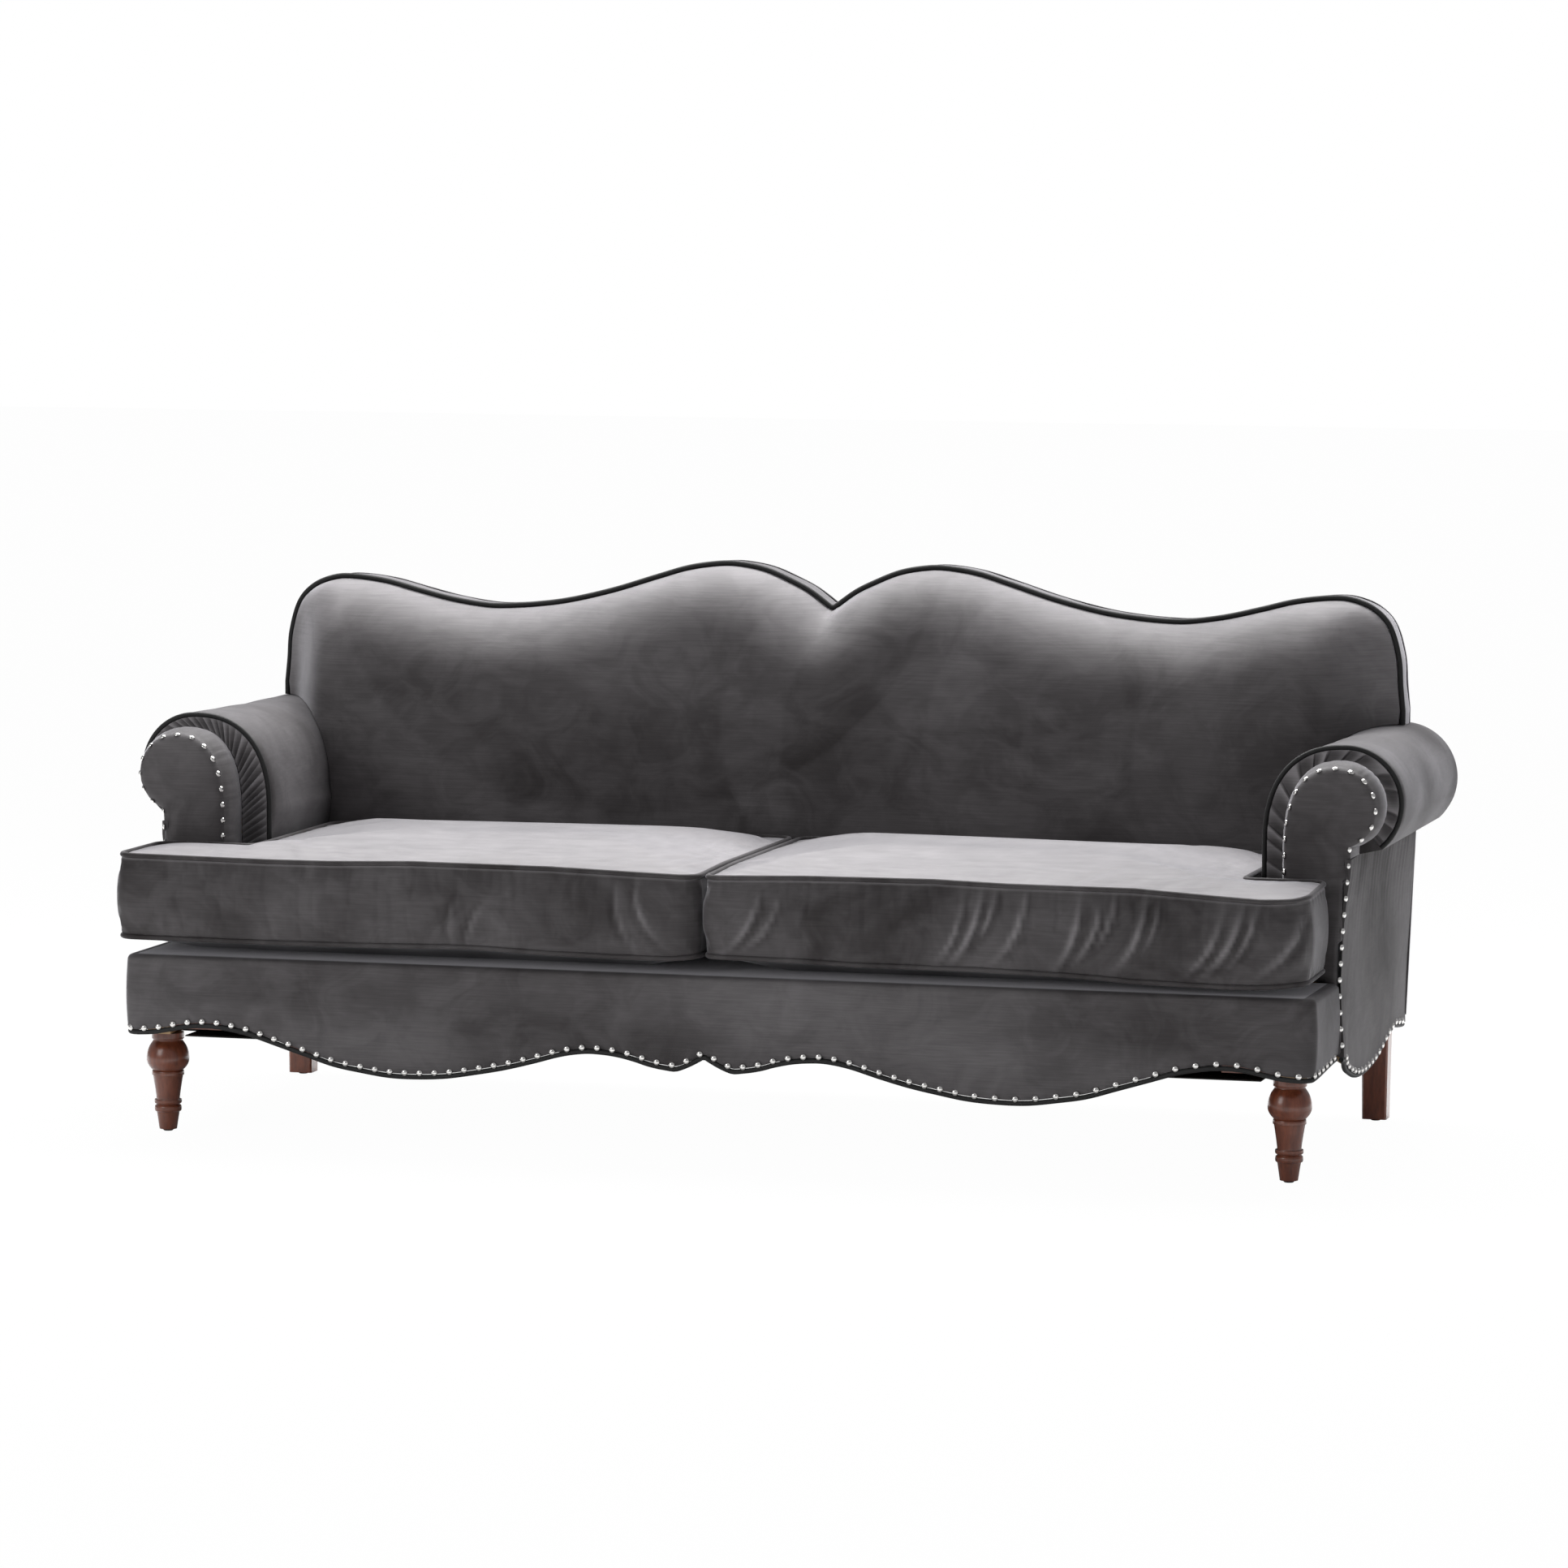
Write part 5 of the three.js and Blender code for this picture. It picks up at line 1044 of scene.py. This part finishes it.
def arm_facing(side):
    outline = facing_outline()[::-1]
    deep = FACING_REAR_Y - FACING_FRONT_Y
    made, co = cover(
        f"{side}_facing_cover", outline, FACING_NET, [deep / FACING_ROWS] * FACING_ROWS, SIDES[side])
    down = -co[:, 2] / deep
    far, place, way = edge_frame(outline, co[:, :2])
    x, z = co[:, 0], co[:, 1]
    in_front, behind = down < 1e-4, down > 1 - 1e-4
    above = smooth_step(z, NECK_Z - 0.005, NECK_Z + 0.045)
    seat_side = smooth_step(z, DECK_TOP_Z + 0.02, DECK_TOP_Z + 0.06) * (x < ROLL_X)
    puff = FACING_PUFF * np.maximum(above, seat_side) * np.sin(pi * down.clip(0, 1)) ** 0.7
    puff = np.where(in_front | behind, 0, puff)
    edge = FACING_ROUND * rounding(far, FACING_ROUND)
    dish = FACING_DISH * above * smooth_step(far, 0, 0.05)
    high, pitch, reach, seed = FACING_PUCKERS
    gather = high * puckers(far, place, pitch, reach, seed + SIDES[side])
    fold_x = NECK_X - 0.010 - 0.030 * smooth_step(z, NECK_Z - 0.01, NECK_Z + 0.06) ** 2
    fold = smooth_step(z, NECK_Z - 0.035, NECK_Z - 0.005)
    fold = fold * (1 - smooth_step(z, NECK_Z + 0.01, NECK_Z + 0.065))
    valley = NECK_VALLEY * bell(x - fold_x, NECK_VALLEY_WIDE)
    ridge = NECK_RIDGE * bell(x - fold_x + NECK_RIDGE_IN, NECK_RIDGE_WIDE)
    face = edge - dish + gather + fold * (valley - ridge)
    y = FACING_FRONT_Y + np.where(in_front, face, FACING_ROUND + (deep - FACING_ROUND) * down)
    y = np.where(behind, FACING_REAR_Y, y)
    folds_out = 0.0008 * folds(place, 0.014, 3) * ~(in_front | behind)
    out = way * (puff - folds_out)[:, None]
    co = np.stack([x + out[:, 0], y, z + out[:, 1]], 1)
    tucked = (co[:, 1] > PANEL_FRONT_Y - SEAM) & (z < NECK_Z)
    inner_x = panel_outer_x(co[:, 1], co[:, 2]) - PANEL_THICK - SEAM
    co[:, 0] = np.where(tucked, np.minimum(co[:, 0], inner_x), co[:, 0])
    move_points(made, co * (SIDES[side], 1, 1))
    # The top of the facing's front is painted lighter, as where light falls from above
    lay_nap_and_light(made, np.where(in_front, 0.12 + 0.10 * smooth_step(z, 0.56, 0.65), 0.12))
    dress(made, "velvet", "root", [f"{side}_arm_facing"])


def facing_nails(side):
    top = even_line(scroll(FACING_SEAT_HALF, FACING_RADIUS, FACING_UNDER), SCROLL_STEP)
    down = np.linspace(NECK_Z - 0.016, side_z(FACING_FRONT_Y) + 0.018, 50)
    line = joined_line([[(top[0, 0], CUSHION_TOP_Z)], top, np.c_[facing_outer_x(down), down]], SCROLL_STEP)
    inward = shifted(line, FACING_NAIL_INSET)
    out = outward(line[::-1])[::-1]
    mirror = (SIDES[side], 1, 1)
    spots = upright_line(inward, FACING_FRONT_Y + FACING_NAIL_BACK) * mirror
    nailheads(f"{side}_facing_nails", spots, upright_line(out, FACING_NAIL_TILT) * mirror, FACING_NAIL_PITCH)


# Pleated bands between the facings and the rolls, and the welts round the rolls
def pleat_band(side):
    inner = scroll(FACING_SEAT_HALF + SEAM, FACING_RADIUS + SEAM, ROLL_UNDER)
    outer = scroll(ROLL_SEAT_HALF - 2 * WELT_RADIUS, ROLL_RADIUS - 2 * WELT_RADIUS, ROLL_UNDER)
    lines = [joined_line([[(line[0, 0], BAND_BOTTOM_Z)], line], 0.002) for line in (inner, outer)]
    count = int(places_along(lines[1])[-1] / PLEAT_STEP)
    lines = [even_line(line, places_along(line)[-1] / count) for line in lines]
    place = places_along(lines[1])
    turns = place / PLEAT_PITCH[side] + 0.22 * np.sin(place * 31) + 0.12 * np.sin(place * 83)
    rise = turns % 1
    climb, fall = np.minimum(rise / PLEAT_CLIMB, 1), np.maximum(rise - PLEAT_CLIMB, 0) / PLEAT_FALL
    crest = (0.25 + 0.75 * climb ** 1.4) * (1 - fall ** 0.8)
    crest *= 0.8 + 0.2 * np.sin(np.floor(turns) * 2.4)
    across = np.linspace(0, 1, 9)
    front, rear = FACING_REAR_Y + SEAM, ROLL_FRONT_Y - SEAM
    rings = []
    for a, b, high in zip(*lines, crest):
        ring = []
        for share in across:
            spot = a + (b - a) * share
            y = front + PLEAT_DEPTH * (1 - high) * sin(pi * (0.12 + 0.76 * share)) ** 0.6
            ring.append((spot[0], y, spot[1]))
        ring += [(b[0], rear, b[1]), (a[0], rear, a[1]), ring[0]]
        rings.append(ring)
    made = piece_from(skin(rings), f"{side}_pleats", SIDES[side])
    # Pleat crests are painted light and the hollows between them painted shade
    lay_nap_and_light(made, 1.1 - 0.9 * smooth_step(points_of(made)[:, 1], front, front + 0.7 * PLEAT_DEPTH))
    dress(made, "velvet", "root", [f"{side}_arm_pleat_band"])
    line = scroll(ROLL_SEAT_HALF - WELT_RADIUS, ROLL_RADIUS - WELT_RADIUS, ROLL_UNDER)
    line = joined_line([[(line[0, 0], BAND_BOTTOM_Z)], line], SCROLL_STEP)
    spots = upright_line(line, ROLL_FRONT_Y - SEAM - WELT_RADIUS) * (SIDES[side], 1, 1)
    welt(f"{side}_roll_welt_cord", spots, WELT_RADIUS, f"{side}_arm_roll_welt")


# Outside arms
def panel_outer_x(y, z):
    """The outer face of an outside arm, which follows the facing in front and leans in below."""
    lean = PANEL_OUTER_X - (NECK_Z - z) * PANEL_LEAN
    in_front = 1 - smooth_step(y, PANEL_FRONT_Y, PANEL_FRONT_Y + 0.10)
    return lean + (facing_outer_x(z) + 0.0015 - lean) * in_front


def outside_arm(side):
    depths = np.arange(PANEL_FRONT_Y, SIDE_REAR_Y - CLOTH_STEP / 2, CLOTH_STEP)
    rings = []
    for y in [*depths, SIDE_REAR_Y]:
        foot = side_z(y) + WELT_RADIUS + SEAM
        z = np.linspace(foot, NECK_Z, PANEL_ROWS)
        gather = PANEL_GATHER * folds(y + 0.02 * np.sin(z * 20), PANEL_FOLD_PITCH, 11)
        gather = gather * np.exp(-(NECK_Z - z) / PANEL_GATHER_REACH)
        fan_far = np.hypot(y - PANEL_FRONT_Y, z - PANEL_FAN_Z)
        fan_turn = np.arctan2(z - PANEL_FAN_Z, y - PANEL_FRONT_Y)
        fan = PANEL_FAN * folds(fan_turn * 0.16, PANEL_FOLD_PITCH, 7) * np.exp(-fan_far / PANEL_FAN_REACH)
        slack = PANEL_SLACK * np.sin(y * 13 + z * 7) * np.sin(z * 15 + 1)
        pinned = smooth_step(z, foot, foot + 0.02) * (1 - smooth_step(z, NECK_Z - 0.006, NECK_Z + 0.001))
        x = panel_outer_x(y, z) - (PANEL_SINK - gather - fan - slack) * pinned
        ring = [*zip(x, z), (x[-1] - PANEL_THICK, z[-1]), (x[0] - PANEL_THICK, z[0]), (x[0], z[0])]
        rings.append([(a, y, b) for a, b in ring])
    made = piece_from(skin(rings), f"{side}_outside_arm_cover", SIDES[side])
    co = points_of(made)
    # Low pile values darken the outside arm: painted shade
    lay_nap_and_light(made, 0.06 + 0.08 * np.sin(co[:, 1] * 13 + co[:, 2] * 9))
    dress(made, "shaded_side_velvet", "root", [f"{side}_outside_arm_panel"])


def side_edging(side):
    line = side_line[side_line[:, 0] > FACING_FRONT_Y + WELT_RADIUS / 2]
    x = panel_outer_x(*line.T) - WELT_RADIUS - 0.0008
    spots = np.c_[x, line] * (SIDES[side], 1, 1)
    welt(f"{side}_side_welt_cord", spots, WELT_RADIUS, f"{side}_side_welt")
    row = shifted(side_line, -NAIL_ABOVE_WELT)
    row = row[(row[:, 0] > PANEL_FRONT_Y + 0.03) & (row[:, 0] < SIDE_REAR_Y - 0.004)]
    spots = np.c_[panel_outer_x(*row.T) - 0.0002, row] * (SIDES[side], 1, 1)
    nailheads(f"{side}_side_nails", spots, np.tile((SIDES[side], 0, 0), (len(row), 1)), SIDE_NAIL_PITCH)


# Outside back
def outside_back():
    edge = shifted(back_line, BOXING_DROP)
    shoulder = BACK_HALF - BOXING_DROP
    right = [[(shoulder, NECK_Z)], [(PANEL_OUTER_X, NECK_Z)], [(PANEL_OUTER_X - PANEL_FOOT_IN, SIDE_CREST_Z)]]
    left = [np.array(part) * (-1, 1) for part in right[::-1]]
    outline = joined_line([edge, *right, *left, edge[:1]], BACK_STEP)[:-1][::-1]
    thick = OUTSIDE_BACK_Y - SIDE_REAR_Y - SEAM
    made, co = cover("outside_back_cover", outline, BACK_NET, [thick / BACK_ROWS] * BACK_ROWS)
    far = edge_frame(outline, co[:, :2])[0]
    rear = -co[:, 2] < FLAT
    edge_drop = BACK_EDGE_DROP * rounding(far, BACK_EDGE_ROUND)
    y = OUTSIDE_BACK_Y + co[:, 2] - np.where(rear, edge_drop, 0)
    slack = BACK_SLACK * np.sin(co[:, 0] * 8) * np.sin(co[:, 1] * 9) * smooth_step(far, 0.01, 0.1) * rear
    move_points(made, np.stack([co[:, 0], y + slack - BACK_SUNK * rear, co[:, 1]], 1))
    lay_nap_and_light(made, 0.10 + 0.05 * np.sin(co[:, 0] * 6))
    dress(made, "velvet", "root", ["outside_back_panel"])


# Turned front legs
def front_leg(side):
    high = LEG_TOP_Z - GLIDE_HEIGHT
    profile = np.array([(radius * LEG_RADIUS, GLIDE_HEIGHT + up * high) for radius, up in LEG_SHARES])
    profile = smooth_line(profile, LEG_STEP)
    turn = np.linspace(0, 2 * pi, LEG_FACETS + 1)
    x, y = FRONT_LEG
    rows = [(0, profile[0, 1]), *profile, (0, profile[-1, 1])]
    rings = [np.stack([x + r * np.cos(turn), y + r * np.sin(turn), np.full(len(turn), z)], 1)
             for r, z in rows]
    made = piece_from(skin(rings, capped=False), f"{side}_turned_leg", SIDES[side])
    dress(made, "stained_wood", "root", [f"{side}_front_leg"])


seat_deck()
for side in SIDES:
    cushion(side)
    arm_pad(side)
    arm_facing(side)
    facing_nails(side)
    pleat_band(side)
    outside_arm(side)
    side_edging(side)
    front_leg(side)
outside_back()

# Camera and light
CAMERA_PLACE, CAMERA_TURNS = (2.8549, -10.4569, 1.6045), (15.1915, 5.4144, 0.2993)
CAMERA_SENSOR, CAMERA_LENS, CAMERA_REACH = 36, 149.07, 100
FLOOR_SIZE, FLOOR_SHADOW, SKY_STRENGTH = 30, 0.02, 0.35

camera = placed("camera", bpy.data.cameras.new("camera"))
yaw, pitch, tilt = (radians(angle) for angle in CAMERA_TURNS)
ahead = Vector((-sin(yaw) * cos(pitch), cos(yaw) * cos(pitch), -sin(pitch)))
level = Vector((cos(yaw), sin(yaw), 0))
upright = level.cross(ahead)
across = level * cos(tilt) + upright * sin(tilt)
upward = upright * cos(tilt) - level * sin(tilt)
turned = Matrix((across, upward, -ahead)).transposed().to_4x4()
camera.matrix_world = Matrix.Translation(CAMERA_PLACE) @ turned
camera.data.sensor_width, camera.data.lens, camera.data.clip_end = CAMERA_SENSOR, CAMERA_LENS, CAMERA_REACH
bpy.context.scene.camera = camera


def white_for_camera(look, lit, glow_kind, share, end):
    """Gives the camera a share of plain white. The ground's is less than one, which keeps its shadow."""
    glow = look.node(glow_kind, {"Color": grey(1), "Strength": 1})
    path = look.node("LightPath").outputs
    seen = look.node("Math", {0: path["Is Camera Ray"], 1: path["Is Transmission Ray"]}, operation="MAXIMUM")
    white = look.node("Math", {0: seen.outputs[0], 1: share}, operation="MULTIPLY")
    mix = look.node("MixShader", {0: white.outputs[0], 1: look.nodes[lit].outputs[0], 2: glow.outputs[0]})
    look.feed(look.nodes[end], {"Surface": mix.outputs[0]})


floor_bm = bmesh.new()
bmesh.ops.create_grid(floor_bm, x_segments=1, y_segments=1, size=FLOOR_SIZE)
floor = piece_from(floor_bm, "floor")
ground = Look(bpy.data.materials.new("floor"))
floor.data.materials.append(ground.finished({"Base Color": grey(0.9), "Roughness": 0.9}))
white_for_camera(ground, "Principled BSDF", "Emission", 1 - FLOOR_SHADOW, "Material Output")

studio = bpy.data.worlds.new("studio")
bpy.context.scene.world = studio
sky = Look(studio)
sky.feed(sky.nodes["Background"], {"Color": (0.98, 0.98, 1.0), "Strength": SKY_STRENGTH})
white_for_camera(sky, "Background", "Background", 1, "World Output")


def soft_lamp(name, place, aim, size, power):
    data = bpy.data.lights.new(name, "AREA")
    data.shape = "RECTANGLE"
    data.size, data.size_y = size
    data.energy = power
    lamp = placed(name, data)
    lamp.location = place
    lamp.rotation_mode = "QUATERNION"
    lamp.rotation_quaternion = (Vector(aim) - Vector(place)).to_track_quat("-Z", "Y")


soft_lamp("overhead", (-0.3, 1.3, 3.3), (0, -0.1, 0.5), (4.5, 2.0), 270)
soft_lamp("front_left", (-3.5, -5.0, 2.6), (0, 0, 0.5), (2.5, 2.5), 75)

bpy.context.scene.view_settings.view_transform = "Standard"
